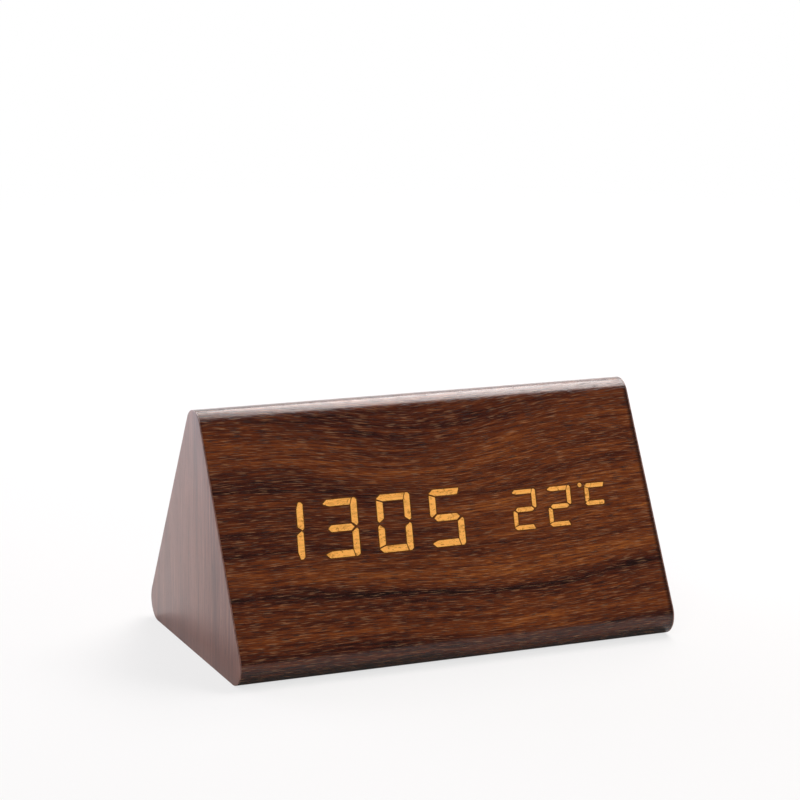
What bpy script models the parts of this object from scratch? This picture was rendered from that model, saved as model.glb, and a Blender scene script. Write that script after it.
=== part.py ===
# Wooden digital alarm clock: a three-sided case of mitred boards wrapped in walnut laminate,
# a lit display module behind the front laminate and a moulded rear insert with the controls.
# Metres, +Z up, length along X, front face towards -Y, underside at z = 0.
import math

import bmesh
import bpy
from mathutils import Matrix, Vector

# Clearances shared by all pieces
GAP = 0.0003
OVERRUN = 0.001
WELD = 0.000001

# Case: the section is a triangle with rounded corners, given by its sharp base and apex
CASE_END_MARGIN = 0.015
CASE_DEPTH = 0.0934
CASE_HEIGHT = 0.0853
CORNER_RADIUS = 0.0066
CORNER_STEPS = 8
LAMINATE = 0.0005
BOARD = 0.006
LAMINATE_LIP = 0.008

# Display module, behind the front laminate
WINDOW_END_MARGIN = 0.0135
WINDOW_HEIGHT = 0.025
DIFFUSER = 0.0006
REFLECTOR_DEPTH = 0.0075
FLANGE_END_RIM = 0.0025
FLANGE_SIDE_RIM = 0.0065
FLANGE_RADIUS = 0.002
CIRCUIT_BOARD = 0.0012
MODULE_SCREW_END = 0.004
MODULE_SCREW_SIDE = 0.003
DISPLAY_DROP = 0.00014
DIGIT_SLANT_SHARE = 0.105
CAVITY_TAPER_SHARE = 0.8
BIG_FIRST_SHARE = -0.42813
BIG_PITCH_SHARE = 0.1474
SMALL_FIRST_SHARE = 0.23789
SMALL_PITCH_SHARE = 0.10276
UNIT_SHARE = 0.44634
BIG_HALF_WIDTH = 0.00467
BIG_HALF_HEIGHT = 0.00825
BIG_STROKE = 0.0021
SMALL_HALF_WIDTH = 0.003465
UNIT_HALF_WIDTH = 0.00285
SMALL_HALF_HEIGHT = 0.00585
SMALL_STROKE = 0.0014
COLON_RADIUS = 0.0009
COLON_RISE = 0.0033
DEGREE_RADIUS = 0.0007
DEGREE_OFFSET = 0.00168
DEGREE_LIFT = 0.00056
CHIP_LENGTH = 0.0012
CHIP_WIDTH = 0.0005
CHIP_HEIGHT = 0.0006

# Segment outlines: each point is a side of the digit, a share of the stroke across from it,
# a level of the digit, and a share of the stroke up from that
TOP_SHARES = (
    (-1, -0.5, 1, -0.1), (-1, 0.15, 1, 0.5), (1, -0.35, 1, 0.5), (1, -0.62, 1, -0.5), (-1, 0.5, 1, -0.5),
)
TOP_RIGHT_SHARES = (
    (1, -0.18, 1, 0.5), (1, 0.2, 1, 0.5), (1, 0.5, 1, 0.2), (1, 0.5, 0, 0.55), (1, 0.25, 0, 0.3),
    (1, -0.5, 0, 0.85), (1, -0.5, 1, -0.55),
)
TOP_LEFT_SHARES = (
    (-1, -0.5, 1, -0.35), (-1, 0.5, 1, -0.72), (-1, 0.5, 0, 0.85), (-1, -0.25, 0, 0.3), (-1, -0.5, 0, 0.55),
)
MIDDLE_SHARES = (
    (-1, 0.12, 0, 0), (-1, 0.62, 0, 0.5), (1, -0.62, 0, 0.5), (1, -0.12, 0, 0), (1, -0.62, 0, -0.5),
    (-1, 0.62, 0, -0.5),
)

# Rear insert: plate, battery tub and control section, seen from behind with +x to the right
PANEL_END_RIM = 0.00665
PANEL_FOOT_RIM = 0.003
PANEL_THICKNESS = 0.002
PANEL_RADIUS = 0.004
PANEL_SINK = 0.0003
INSERT_HEAD = 0.00155
INSERT_FOOT = 0.00425
PANEL_SCREW_END = 0.0038
PANEL_SCREW_SIDE = 0.0048
TUB_SIDE = 0.0002
TUB_Y = 0.001
TUB_WALL = 0.0015
RAIL_DEPTH = 0.0034

# Battery cells and their contacts
CELL_COUNT = 3
CELL_DIAMETER = 0.0105
CELL_LENGTH = 0.0445
CELL_NUB_DIAMETER = 0.0038
CELL_NUB_LENGTH = 0.001
CELL_SPACING = 0.0012
CELL_CROWN_BEVEL = 0.0004
BED_DROP = 0.0022
CONTACT_THICKNESS = 0.0004
CONTACT_HALF_WIDTH = 0.0042
CONTACT_HALF_RISE = 0.0040
TAB_WIDTH = 0.003
TAB_REACH = 0.0035
SPRING_LENGTH = 0.0055
SPRING_WIRE = 0.0006
SPRING_WIDE_RADIUS = 0.0036
SPRING_NARROW_RADIUS = 0.0024
SPRING_TURNS = 4
SPRING_POINTS_PER_TURN = 9

# Battery door
DOOR_THICKNESS = 0.0016
DOOR_CLEARANCE = 0.0004
DOOR_LEDGE = 0.0008
DOOR_TOP_LEDGE = 0.0016
HINGE_OFFSET = 0.0022
HINGE_TAB_WIDTH = 0.006
HINGE_TAB_SPREAD = 0.016
HINGE_TAB_REACH = 0.0016
HINGE_TAB_ROOT = 0.002
HINGE_TAB_THICKNESS = 0.0012
HINGE_SKIN = 0.001
LATCH_WIDTH = 0.008
LATCH_LENGTH = 0.006
LATCH_SLOT = 0.0008
LATCH_RIDGE_HEIGHT = 0.0005
LATCH_RIDGE_WIDTH = 0.0008
LATCH_RIDGE_PITCH = 0.0016
LATCH_RIDGE_COUNT = 3
NAIL_NOTCH_DEPTH = 0.0012
NAIL_NOTCH_HEIGHT = 0.0012

# Buttons and their switches
BUTTON_PITCH = 0.015
BUTTON_ROW_Y = 0.0095
BUTTON_RADIUS = 0.0035
BUTTON_RISE = 0.001
BUTTON_DISH = 0.0003
BUTTON_EDGE = 0.0005
BUTTON_FLANGE_RADIUS = 0.0044
BUTTON_FLANGE = 0.0008
COLLAR_WALL = 0.001
COLLAR_DEPTH = 0.002
SWITCH_SIDE = 0.006
SWITCH_HEIGHT = 0.0035
SWITCH_EDGE = 0.0003
PLUNGER_RADIUS = 0.0017
PLUNGER_LENGTH = 0.0022
PLUNGER_RISE = 0.0009
SWITCH_BORE_DEPTH = 0.0024

# Control board and what it carries
CONTROL_SIDE = 0.0006
CONTROL_TO_TUB = 0.0051
CONTROL_LENGTH = 0.0455
CONTROL_HEIGHT = 0.040
CONTROL_RADIUS = 0.001
BOSS_RADIUS = 0.0025
BOSS_END = 0.00275
BOSS_SIDE = 0.003
JACK_OFFSET_X = 0.012
JACK_Y = -0.011
JACK_SIDE = 0.009
JACK_SNOUT_RADIUS = 0.0040
JACK_BORE_RADIUS = 0.0029
JACK_BORE_DEPTH = 0.0055
JACK_PIN_RADIUS = 0.001
JACK_PIN_TIP = 0.0006
MICROPHONE_OFFSET_X = -0.012
MICROPHONE_Y = -0.011
MICROPHONE_RADIUS = 0.003
MICROPHONE_HEIGHT = 0.0027
MICROPHONE_HOLE_RADIUS = 0.0008
MICROPHONE_COLLAR_WALL = 0.0008
VENT_OFFSET_X = -0.0005
VENT_WIDTH = 0.0012
VENT_HEIGHT = 0.007
VENT_PITCH = 0.0024
VENT_COUNT = 3
THERMISTOR_RADIUS = 0.0013
THERMISTOR_LEG = 0.0005
THERMISTOR_LEG_SPREAD = 0.0012
THERMISTOR_RISE = 0.0040
BUZZER_OFFSET_X = -0.012
BUZZER_Y = -0.006
BUZZER_RADIUS = 0.006
BUZZER_HEIGHT = 0.0085
BUZZER_HOLE_RADIUS = 0.001
BUZZER_HOLE_DEPTH = 0.003
CHIP_BODY_LENGTH = 0.0128
CHIP_BODY_WIDTH = 0.0075
CHIP_BODY_HEIGHT = 0.0023
CHIP_LEG_COUNT = 10
CHIP_LEG_PITCH = 0.00127
CHIP_LEG_WIDTH = 0.0005
CHIP_LEG_THICKNESS = 0.0003
CHIP_LEG_REACH = 0.0013
MCU_OFFSET_X = 0.007
MCU_Y = 0.006
DRIVER_X = -0.020
DRIVER_Y = 0.004
CRYSTAL_OFFSET_X = 0.018
CRYSTAL_Y = -0.006
CRYSTAL_RADIUS = 0.0015
CRYSTAL_LENGTH = 0.008

# Fasteners
SCREW_RADIUS = 0.0010
SCREW_HEAD_RADIUS = 0.0021
SCREW_HEAD = 0.0012
SCREW_CROWN = 0.0004
SCREW_POINT = 0.0012
SCREW_STEPS = 14
PANEL_SCREW_LENGTH = 0.0060
BOARD_SCREW_LENGTH = 0.0060
MODULE_SCREW_LENGTH = 0.0090

# Leads inside the case
LEAD_RADIUS = 0.0006
LEAD_SIDES_RESOLUTION = 1
LEAD_BEND = 0.0025
LEAD_PAD_INSET = 0.00225
LEAD_PAD_Y = 0.010
RIBBON_WIDTH = 0.010
RIBBON_THICKNESS = 0.0006
RIBBON_OFFSET_X = 0.007
RIBBON_Y = -0.008
RIBBON_STRAIGHT = 0.004
RIBBON_SAG = 0.007
ROUTE_STEPS = 4

# Sizes that follow from those above
half_depth = CASE_DEPTH / 2
slant = math.hypot(half_depth, CASE_HEIGHT)
base_angle = math.atan2(CASE_HEIGHT, half_depth)
apex_angle = math.pi - 2 * base_angle
front_heading = math.pi / 2 + base_angle
rear_heading = math.pi / 2 - base_angle
base_heading = -math.pi / 2
corner_reach = CORNER_RADIUS / math.tan(base_angle / 2)
board_outside = LAMINATE + GAP
board_inside = board_outside + BOARD

panel_face = -PANEL_SINK
panel_under = panel_face - PANEL_THICKNESS
rebate_floor = panel_under - GAP
cell_pitch = CELL_DIAMETER + CELL_SPACING
door_under = panel_face - DOOR_THICKNESS
door_seat = door_under - GAP
cell_z = door_under - DOOR_CLEARANCE - CELL_DIAMETER / 2
bed_radius = CELL_DIAMETER / 2 + GAP
tub_floor = cell_z - bed_radius
tub_bottom = tub_floor - TUB_WALL
tub_half_length = (CELL_LENGTH + SPRING_LENGTH + 2 * CONTACT_THICKNESS + 5 * GAP) / 2
tub_half_height = CELL_COUNT * cell_pitch / 2
contact_well = CONTACT_THICKNESS + 2 * GAP
hinge_y = TUB_Y - tub_half_height - HINGE_OFFSET
hinge_z = panel_face
door_top = TUB_Y + tub_half_height + DOOR_TOP_LEDGE
door_half_length = tub_half_length + DOOR_LEDGE
tub_length = 2 * (tub_half_length + TUB_WALL)
insert_half_length = (TUB_SIDE + tub_length + CONTROL_TO_TUB + CONTROL_LENGTH + CONTROL_SIDE) / 2
insert_top = door_top + INSERT_HEAD
insert_bottom = INSERT_FOOT - hinge_y
tub_x = -insert_half_length + TUB_SIDE + tub_length / 2
control_x = insert_half_length - CONTROL_SIDE - CONTROL_LENGTH / 2
boss_x = CONTROL_LENGTH / 2 - BOSS_END
boss_y = CONTROL_HEIGHT / 2 - BOSS_SIDE
jack_x = control_x + JACK_OFFSET_X
microphone_x = control_x + MICROPHONE_OFFSET_X
vent_x = control_x + VENT_OFFSET_X
buzzer_x = control_x + BUZZER_OFFSET_X
crystal_x = control_x + CRYSTAL_OFFSET_X
mcu_x = control_x + MCU_OFFSET_X
lead_pad_x = control_x - CONTROL_LENGTH / 2 + LEAD_PAD_INSET
ribbon_x = -control_x - RIBBON_OFFSET_X
panel_length = 2 * (insert_half_length + PANEL_END_RIM)
panel_height = 2 * (insert_bottom + PANEL_FOOT_RIM)
panel_screw_x = panel_length / 2 - PANEL_SCREW_END
panel_screw_y = panel_height / 2 - PANEL_SCREW_SIDE

case_length = panel_length + 2 * CASE_END_MARGIN
end_veneer_inside = case_length / 2 - LAMINATE
end_panel_outside = end_veneer_inside - GAP
end_panel_inside = end_panel_outside - BOARD
boards_end = end_panel_inside - GAP

flange_top = panel_under - GAP
flange_bottom = flange_top - BUTTON_FLANGE
plunger_top = flange_bottom - GAP
switch_top = plunger_top - PLUNGER_RISE
switch_bottom = switch_top - SWITCH_HEIGHT
control_top = switch_bottom - GAP
control_bottom = control_top - CIRCUIT_BOARD

window_length = case_length - 2 * WINDOW_END_MARGIN
flange_length = window_length + 2 * FLANGE_END_RIM
flange_height = WINDOW_HEIGHT + 2 * FLANGE_SIDE_RIM
module_screw_x = flange_length / 2 - MODULE_SCREW_END
module_screw_y = flange_height / 2 - MODULE_SCREW_SIDE
diffuser_face = -LAMINATE - GAP
reflector_face = diffuser_face - DIFFUSER - GAP
reflector_back = reflector_face - REFLECTOR_DEPTH
flange_face = -board_inside - GAP
module_board_face = reflector_back - GAP
module_board_back = module_board_face - CIRCUIT_BOARD


# Scene, collections and materials
for old in list(bpy.data.objects):
    bpy.data.objects.remove(old)

parts = bpy.data.collections.new("Wooden digital alarm clock")
cutters = bpy.data.collections.new("Cutters")
for group in (parts, cutters):
    bpy.context.scene.collection.children.link(group)


def material(name, colour, roughness, metallic=0.0):
    """A plain Principled material, made once for each finish."""
    found = bpy.data.materials.get(name)
    if found is None:
        found = bpy.data.materials.new(name)
        found.use_nodes = True
        shader = found.node_tree.nodes["Principled BSDF"]
        shader.inputs["Base Color"].default_value = (*colour, 1.0)
        shader.inputs["Roughness"].default_value = roughness
        shader.inputs["Metallic"].default_value = metallic
        found.diffuse_color = (*colour, 1.0)
    return found


walnut = material("walnut laminate", (0.083, 0.032, 0.018), 0.38)
end_walnut = material("walnut laminate, end faces", (0.11, 0.045, 0.032), 0.3)
fibreboard = material("fibreboard", (0.32, 0.20, 0.11), 0.8)
black_abs = material("black ABS", (0.02, 0.02, 0.022), 0.45)
button_abs = material("button ABS", (0.03, 0.03, 0.032), 0.35)
switch_plastic = material("switch body", (0.015, 0.015, 0.016), 0.4)
plunger_plastic = material("switch plunger", (0.35, 0.33, 0.30), 0.5)
white_plastic = material("white reflector ABS", (0.75, 0.75, 0.73), 0.4)
frosted_plastic = material("frosted diffuser", (0.80, 0.74, 0.62), 0.5)
circuit_green = material("circuit board", (0.02, 0.12, 0.05), 0.45)
chip_epoxy = material("chip epoxy", (0.012, 0.012, 0.013), 0.55)
zinc_steel = material("zinc plated steel", (0.55, 0.55, 0.53), 0.35, 1.0)
spring_steel = material("nickel plated spring wire", (0.62, 0.60, 0.57), 0.25, 1.0)
brass = material("brass", (0.72, 0.52, 0.22), 0.3, 1.0)
cell_label = material("cell jacket", (0.06, 0.10, 0.20), 0.35)
red_sleeve = material("red lead sleeve", (0.45, 0.02, 0.02), 0.5)
black_sleeve = material("black lead sleeve", (0.02, 0.02, 0.02), 0.5)
grey_ribbon = material("grey ribbon", (0.40, 0.40, 0.42), 0.5)


# Making and joining solids
def mesh_from(form, name):
    """The bmesh as a mesh with outward normals."""
    bmesh.ops.recalc_face_normals(form, faces=form.faces)
    mesh = bpy.data.meshes.new(name)
    form.to_mesh(mesh)
    form.free()
    return mesh


def piece(name, mesh, finish, frame=None, place=(0, 0, 0)):
    """A visible sub-part, placed in its frame."""
    mesh.materials.append(finish)
    made = bpy.data.objects.new(name, mesh)
    parts.objects.link(made)
    made.parent = frame
    made.location = place
    return made


def tool(name, mesh, frame=None, place=(0, 0, 0)):
    """A hidden solid that cuts, or is joined to, a sub-part."""
    made = bpy.data.objects.new(name, mesh)
    cutters.objects.link(made)
    made.parent = frame
    made.location = place
    made.hide_render = True
    made.display_type = "WIRE"
    return made


def combine(target, other, operation):
    """Adds an exact Boolean of this kind to the target."""
    step = target.modifiers.new(other.name, "BOOLEAN")
    step.operation = operation
    step.object = other
    step.solver = "EXACT"


def cut(target, other):
    combine(target, other, "DIFFERENCE")


def join(target, other):
    combine(target, other, "UNION")


def finished_mesh(made):
    """The object's mesh with its modifiers applied, for copies that share it."""
    graph = bpy.context.evaluated_depsgraph_get()
    return bpy.data.meshes.new_from_object(made.evaluated_get(graph))


def smooth(mesh, angle=math.radians(35)):
    """Rounds the shading and keeps the real edges sharp."""
    mesh.shade_smooth()
    mesh.set_sharp_from_angle(angle=angle)


def add_box(form, low, high):
    """A box whose corners lie exactly on two given ones, so that equal sizes stay coplanar."""
    for corner in bmesh.ops.create_cube(form, size=1.0)["verts"]:
        corner.co = [far if side > 0 else near for side, near, far in zip(corner.co, low, high)]


def box_mesh(name, low, high, edge=0.0):
    """A box whose edges may be rounded."""
    form = bmesh.new()
    add_box(form, low, high)
    if edge:
        bmesh.ops.bevel(form, geom=form.edges[:], offset=edge, segments=2, affect="EDGES", profile=0.5)
    return mesh_from(form, name)


def add_rod(form, centre, radius, low, high, sides, far_radius=None, along="Z"):
    """A cylinder or cone along one axis, between two heights on it."""
    turn = Matrix.Identity(4) if along == "Z" else Matrix.Rotation(math.pi / 2, 4, "Y")
    placed = Matrix.Translation(Vector(centre)) @ turn @ Matrix.Translation((0, 0, (low + high) / 2))
    bmesh.ops.create_cone(
        form, cap_ends=True, segments=sides, radius1=radius,
        radius2=radius if far_radius is None else far_radius, depth=high - low, matrix=placed,
    )


def rod_mesh(name, radius, low, high, sides, far_radius=None):
    """One cylinder or cone on the Z axis."""
    form = bmesh.new()
    add_rod(form, (0, 0, 0), radius, low, high, sides, far_radius)
    return mesh_from(form, name)


def plate_mesh(name, loops, low, high):
    """A flat outline, with any holes as further loops, filled and thickened between two heights."""
    curve = bpy.data.curves.new(name, "CURVE")
    curve.dimensions = "2D"
    curve.fill_mode = "BOTH"
    curve.extrude = (high - low) / 2
    for loop in loops:
        spline = curve.splines.new("POLY")
        spline.points.add(len(loop) - 1)
        for point, (x, y) in zip(spline.points, loop):
            point.co = (x, y, 0, 1)
        spline.use_cyclic_u = True
    holder = bpy.data.objects.new(name, curve)
    cutters.objects.link(holder)
    mesh = finished_mesh(holder)
    bpy.data.objects.remove(holder)
    bpy.data.curves.remove(curve)
    form = bmesh.new()
    form.from_mesh(mesh)
    bpy.data.meshes.remove(mesh)
    bmesh.ops.remove_doubles(form, verts=form.verts, dist=WELD)
    bmesh.ops.translate(form, verts=form.verts, vec=(0, 0, (low + high) / 2))
    return mesh_from(form, name)


def turned_mesh(name, profile, steps):
    """A profile of (radius, height) turned round the Z axis, listed from its top downwards."""
    mesh = bpy.data.meshes.new(name)
    links = [(i, i + 1) for i in range(len(profile) - 1)]
    mesh.from_pydata([(radius, 0, height) for radius, height in profile], links, [])
    holder = bpy.data.objects.new(name, mesh)
    cutters.objects.link(holder)
    turn = holder.modifiers.new("Turn", "SCREW")
    turn.axis = "Z"
    turn.steps = steps
    turn.render_steps = steps
    turn.use_merge_vertices = True
    turn.merge_threshold = WELD
    solid = finished_mesh(holder)
    bpy.data.objects.remove(holder)
    bpy.data.meshes.remove(mesh)
    form = bmesh.new()
    form.from_mesh(solid)
    bpy.data.meshes.remove(solid)
    bmesh.ops.remove_doubles(form, verts=form.verts, dist=WELD)
    solid = mesh_from(form, name)
    smooth(solid)
    return solid


def tube(name, points, radius, resolution, finish, frame=None):
    """A wire or lead along a list of points, with closed ends."""
    curve = bpy.data.curves.new(name, "CURVE")
    curve.dimensions = "3D"
    curve.bevel_depth = radius
    curve.bevel_resolution = resolution
    curve.use_fill_caps = True
    spline = curve.splines.new("POLY")
    spline.points.add(len(points) - 1)
    for point, place in zip(spline.points, points):
        point.co = (*place, 1)
    curve.materials.append(finish)
    made = bpy.data.objects.new(name, curve)
    parts.objects.link(made)
    made.parent = frame
    return made


# Outlines
def arc(centre, radius, start, end, steps):
    """Points on an arc, both ends included."""
    turns = [start + (end - start) * i / steps for i in range(steps + 1)]
    return [(centre[0] + radius * math.cos(a), centre[1] + radius * math.sin(a)) for a in turns]


def rounded_rectangle(half_x, half_y, radius, steps=4, middle=(0, 0)):
    """A rectangle with rounded corners, round its middle."""
    quarter = math.pi / 2
    points = []
    for i, (across, up) in enumerate(((1, 1), (-1, 1), (-1, -1), (1, -1))):
        centre = (middle[0] + across * (half_x - radius), middle[1] + up * (half_y - radius))
        points += arc(centre, radius, i * quarter, (i + 1) * quarter, steps)
    return points


front_centre = (-half_depth + corner_reach, CORNER_RADIUS)
apex_centre = (0, CASE_HEIGHT - CORNER_RADIUS / math.sin(apex_angle / 2))
rear_centre = (half_depth - corner_reach, CORNER_RADIUS)


def section_arcs(inset):
    """The three rounded corners of the case section, this far inside its surface."""
    radius = CORNER_RADIUS - inset
    full = 2 * math.pi
    return (
        arc(front_centre, radius, base_heading + full, front_heading, CORNER_STEPS)
        + arc(apex_centre, radius, front_heading, rear_heading, CORNER_STEPS)
        + arc(rear_centre, radius, rear_heading, base_heading, CORNER_STEPS)
    )


def wrap_outline():
    """The laminate sheet: round all three corners, with a lip under each side of the base."""
    lip_y = half_depth - corner_reach - LAMINATE_LIP
    outer = [(-lip_y, 0), *section_arcs(0), (lip_y, 0)]
    inner = [(-lip_y, LAMINATE), *section_arcs(LAMINATE), (lip_y, LAMINATE)]
    return outer + inner[::-1]


def board_outline(length, near_angle, far_angle):
    """A mitred board: rounded outer corners, and mitre faces half a gap short of the joint."""
    radius = CORNER_RADIUS - board_outside
    short = math.asin(GAP / 2 / radius)
    near_reach = CORNER_RADIUS / math.tan(near_angle / 2)
    far_reach = CORNER_RADIUS / math.tan(far_angle / 2)
    up = math.pi / 2
    near = arc((near_reach, -CORNER_RADIUS), radius, math.pi - near_angle / 2 - short, up, CORNER_STEPS // 2)
    far = arc((length - far_reach, -CORNER_RADIUS), radius, up, far_angle / 2 + short, CORNER_STEPS // 2)
    near_inside = board_inside / math.tan(near_angle / 2) + GAP / 2 / math.sin(near_angle / 2)
    far_inside = board_inside / math.tan(far_angle / 2) + GAP / 2 / math.sin(far_angle / 2)
    return near + far + [(length - far_inside, -board_inside), (near_inside, -board_inside)]


# Frames: one on each face, with local z straight out of the wood, and one for sections
def empty_frame(name, place, turn):
    made = bpy.data.objects.new(name, None)
    parts.objects.link(made)
    made.location = place
    made.rotation_euler = turn
    return made


front_frame = empty_frame("front frame", (0, -half_depth / 2, CASE_HEIGHT / 2), (base_angle, 0, 0))
rear_frame = empty_frame("rear frame", (0, half_depth / 2, CASE_HEIGHT / 2), (base_angle, 0, math.pi))
base_frame = empty_frame("base frame", (0, 0, 0), (math.pi, 0, 0))
section_frame = empty_frame("section frame", (0, 0, 0), (math.pi / 2, 0, math.pi / 2))
section_turn = section_frame.rotation_euler.to_matrix().to_4x4()
bpy.context.view_layer.update()


# Case
def case_laminate():
    """The wrapped sheet, the two end faces and the strip under the base."""
    wrap = plate_mesh("case_veneer", [wrap_outline()], -end_panel_outside, end_panel_outside)
    smooth(wrap)
    case = piece("case_veneer", wrap, walnut, section_frame)
    opening = rounded_rectangle(
        panel_length / 2 + GAP, panel_height / 2 + GAP, PANEL_RADIUS + GAP,
    )
    hole = plate_mesh("laminate opening", [opening], -board_outside, OVERRUN)
    cut(case, tool("laminate opening", hole, rear_frame))

    for name, side in (("left_end_veneer", -1), ("right_end_veneer", 1)):
        low, high = sorted((side * end_veneer_inside, side * case_length / 2))
        face = plate_mesh(name, [section_arcs(0)], low, high)
        smooth(face)
        piece(name, face, end_walnut, section_frame)

    strip_y = half_depth - corner_reach - LAMINATE_LIP - GAP
    low = (-end_panel_outside, -strip_y, 0)
    high = (end_panel_outside, strip_y, LAMINATE)
    piece("base_sheet", box_mesh("base_sheet", low, high), walnut)


def case_boards():
    """Front, rear and base boards with their openings, and the plates that close the ends."""
    sides = (
        ("front_board", front_frame, slant, base_angle, apex_angle),
        ("rear_board", rear_frame, slant, base_angle, apex_angle),
        ("base_board", base_frame, CASE_DEPTH, base_angle, base_angle),
    )
    boards = {}
    for name, frame, length, near_angle, far_angle in sides:
        outline = [(x - length / 2, y) for x, y in board_outline(length, near_angle, far_angle)]
        mesh = plate_mesh(name, [outline], -boards_end, boards_end)
        mesh.transform(section_turn)
        smooth(mesh)
        boards[name] = piece(name, mesh, fibreboard, frame)

    window = rounded_rectangle(window_length / 2, WINDOW_HEIGHT / 2, GAP, steps=1)
    window_cut = plate_mesh("display window", [window], -board_inside - OVERRUN, OVERRUN)
    cut(boards["front_board"], tool("display window", window_cut, front_frame))
    pilots = bmesh.new()
    pilot_radius = SCREW_RADIUS + GAP
    behind = -board_inside - OVERRUN
    for x, y in module_screw_places():
        add_rod(pilots, (x, y, 0), pilot_radius, behind, module_pilot_end(), SCREW_STEPS)
    cut(boards["front_board"], tool("module pilots", mesh_from(pilots, "module pilots"), front_frame))

    pilots = bmesh.new()
    for x, y in panel_screw_places():
        add_rod(pilots, (x, y, 0), pilot_radius, behind, OVERRUN, SCREW_STEPS)
    cut(boards["rear_board"], tool("panel pilots", mesh_from(pilots, "panel pilots"), rear_frame))
    low = (-insert_half_length - GAP, -insert_bottom - GAP, -board_inside - OVERRUN)
    high = (insert_half_length + GAP, insert_top + GAP, OVERRUN)
    cut(boards["rear_board"], tool("insert opening", box_mesh("insert opening", low, high), rear_frame))
    rebate = rounded_rectangle(panel_length / 2 + GAP, panel_height / 2 + GAP, PANEL_RADIUS + GAP)
    rebate_cut = plate_mesh("panel rebate", [rebate], rebate_floor, OVERRUN)
    cut(boards["rear_board"], tool("panel rebate", rebate_cut, rear_frame))

    for name, side in (("left_end_panel", -1), ("right_end_panel", 1)):
        low, high = sorted((side * end_panel_inside, side * end_panel_outside))
        mesh = plate_mesh(name, [section_arcs(board_outside)], low, high)
        smooth(mesh)
        piece(name, mesh, fibreboard, section_frame)


def corners_at(x, y):
    """Four places, one in each quarter."""
    return [(x, y), (-x, y), (-x, -y), (x, -y)]


def panel_screw_places():
    return corners_at(panel_screw_x, panel_screw_y)


def module_screw_places():
    return corners_at(module_screw_x, module_screw_y)


def module_head_top():
    """The height of the display screws' heads, behind their board."""
    return module_board_back - GAP - SCREW_HEAD


def module_pilot_end():
    """How near the laminate the blind pilot holes for the display module come."""
    return module_head_top() + MODULE_SCREW_LENGTH + GAP


# Screws
def screw_mesh(name, length, sunk):
    """A self-tapping screw, countersunk or pan-headed, with its head's top at z = 0."""
    head = SCREW_HEAD_RADIUS
    rim = [(head, 0)] if sunk else [(head - SCREW_CROWN, 0), (head, -SCREW_CROWN), (head, -SCREW_HEAD)]
    profile = [(0, 0), *rim, (SCREW_RADIUS, -SCREW_HEAD), (SCREW_RADIUS, SCREW_POINT - length), (0, -length)]
    mesh = turned_mesh(name, profile, SCREW_STEPS)
    mesh.materials.append(zinc_steel)
    return mesh


def screws(stem, mesh, places, height, frame, facing_in):
    """Copies of one screw at several places, heads out of the case or facing into it."""
    for number, (x, y) in enumerate(places, 1):
        made = bpy.data.objects.new(f"{stem}_{number}", mesh)
        parts.objects.link(made)
        made.parent = frame
        made.location = (x, y, height)
        made.rotation_euler = (math.pi if facing_in else 0, 0, 0)


# Rear insert
def button_places():
    """Where the three buttons sit, by name."""
    names = ("set", "up", "down")
    return {name: control_x + (i - 1) * BUTTON_PITCH for i, name in enumerate(names)}


def cell_heights():
    """The y of each cell's axis, from the top cell down."""
    return [TUB_Y + (1 - i) * cell_pitch for i in range(CELL_COUNT)]


def hinge_tab_places():
    return [tub_x + side * HINGE_TAB_SPREAD for side in (-1, 1)]


def vent_places():
    return [vent_x + (i - (VENT_COUNT - 1) / 2) * VENT_PITCH for i in range(VENT_COUNT)]


def rear_insert():
    """The moulding: plate, battery tub with its rails, collars and bosses, then everything cut from it."""
    outline = rounded_rectangle(panel_length / 2, panel_height / 2, PANEL_RADIUS)
    plate = plate_mesh("rear_panel", [outline], panel_under, panel_face)
    panel = piece("rear_panel", plate, black_abs, rear_frame)

    root = panel_under + GAP
    tub_side = tub_half_height + TUB_WALL
    low = (tub_x - tub_length / 2, TUB_Y - tub_side, tub_bottom)
    high = (tub_x + tub_length / 2, TUB_Y + tub_side, root)
    join(panel, tool("tub block", box_mesh("tub block", low, high), rear_frame))
    rail_half_length = tub_half_length + TUB_WALL / 2
    low = (tub_x - rail_half_length, -insert_bottom, root - RAIL_DEPTH)
    high = (tub_x + rail_half_length, insert_top, root)
    join(panel, tool("hinge and latch rails", box_mesh("rails", low, high), rear_frame))

    collars = bmesh.new()
    collar_radius = BUTTON_FLANGE_RADIUS + GAP + COLLAR_WALL
    for x in button_places().values():
        add_rod(collars, (x, BUTTON_ROW_Y, 0), collar_radius, panel_under - COLLAR_DEPTH, root, 20)
    collar_radius = MICROPHONE_RADIUS + GAP + MICROPHONE_COLLAR_WALL
    add_rod(
        collars, (microphone_x, MICROPHONE_Y, 0), collar_radius, panel_under - MICROPHONE_HEIGHT, root, 20,
    )
    join(panel, tool("collars", mesh_from(collars, "collars"), rear_frame))
    bosses = bmesh.new()
    for x, y in boss_places():
        add_rod(bosses, (x, y, 0), BOSS_RADIUS, control_top + GAP, root, 12)
    join(panel, tool("bosses", mesh_from(bosses, "bosses"), rear_frame))

    cut(panel, tool("cell space", cell_space_mesh(), rear_frame))
    cut(panel, tool("cell beds", cell_beds_mesh(), rear_frame))
    cut(panel, tool("contact wells", contact_wells_mesh(), rear_frame))
    cut(panel, tool("door seat", door_seat_mesh(), rear_frame))
    cut(panel, tool("nail notch", nail_notch_mesh(), rear_frame))
    cut(panel, tool("hinge pockets", hinge_pockets_mesh(), rear_frame))
    cut(panel, tool("tab slots", tab_slots_mesh(), rear_frame))
    cut(panel, tool("button holes", button_holes_mesh(), rear_frame))
    cut(panel, tool("button wells", button_wells_mesh(), rear_frame))
    cut(panel, tool("small holes", small_holes_mesh(), rear_frame))
    cut(panel, tool("countersinks", countersinks_mesh(), rear_frame))


def boss_places():
    return [(control_x + x, y) for x, y in corners_at(boss_x, boss_y)]


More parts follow.
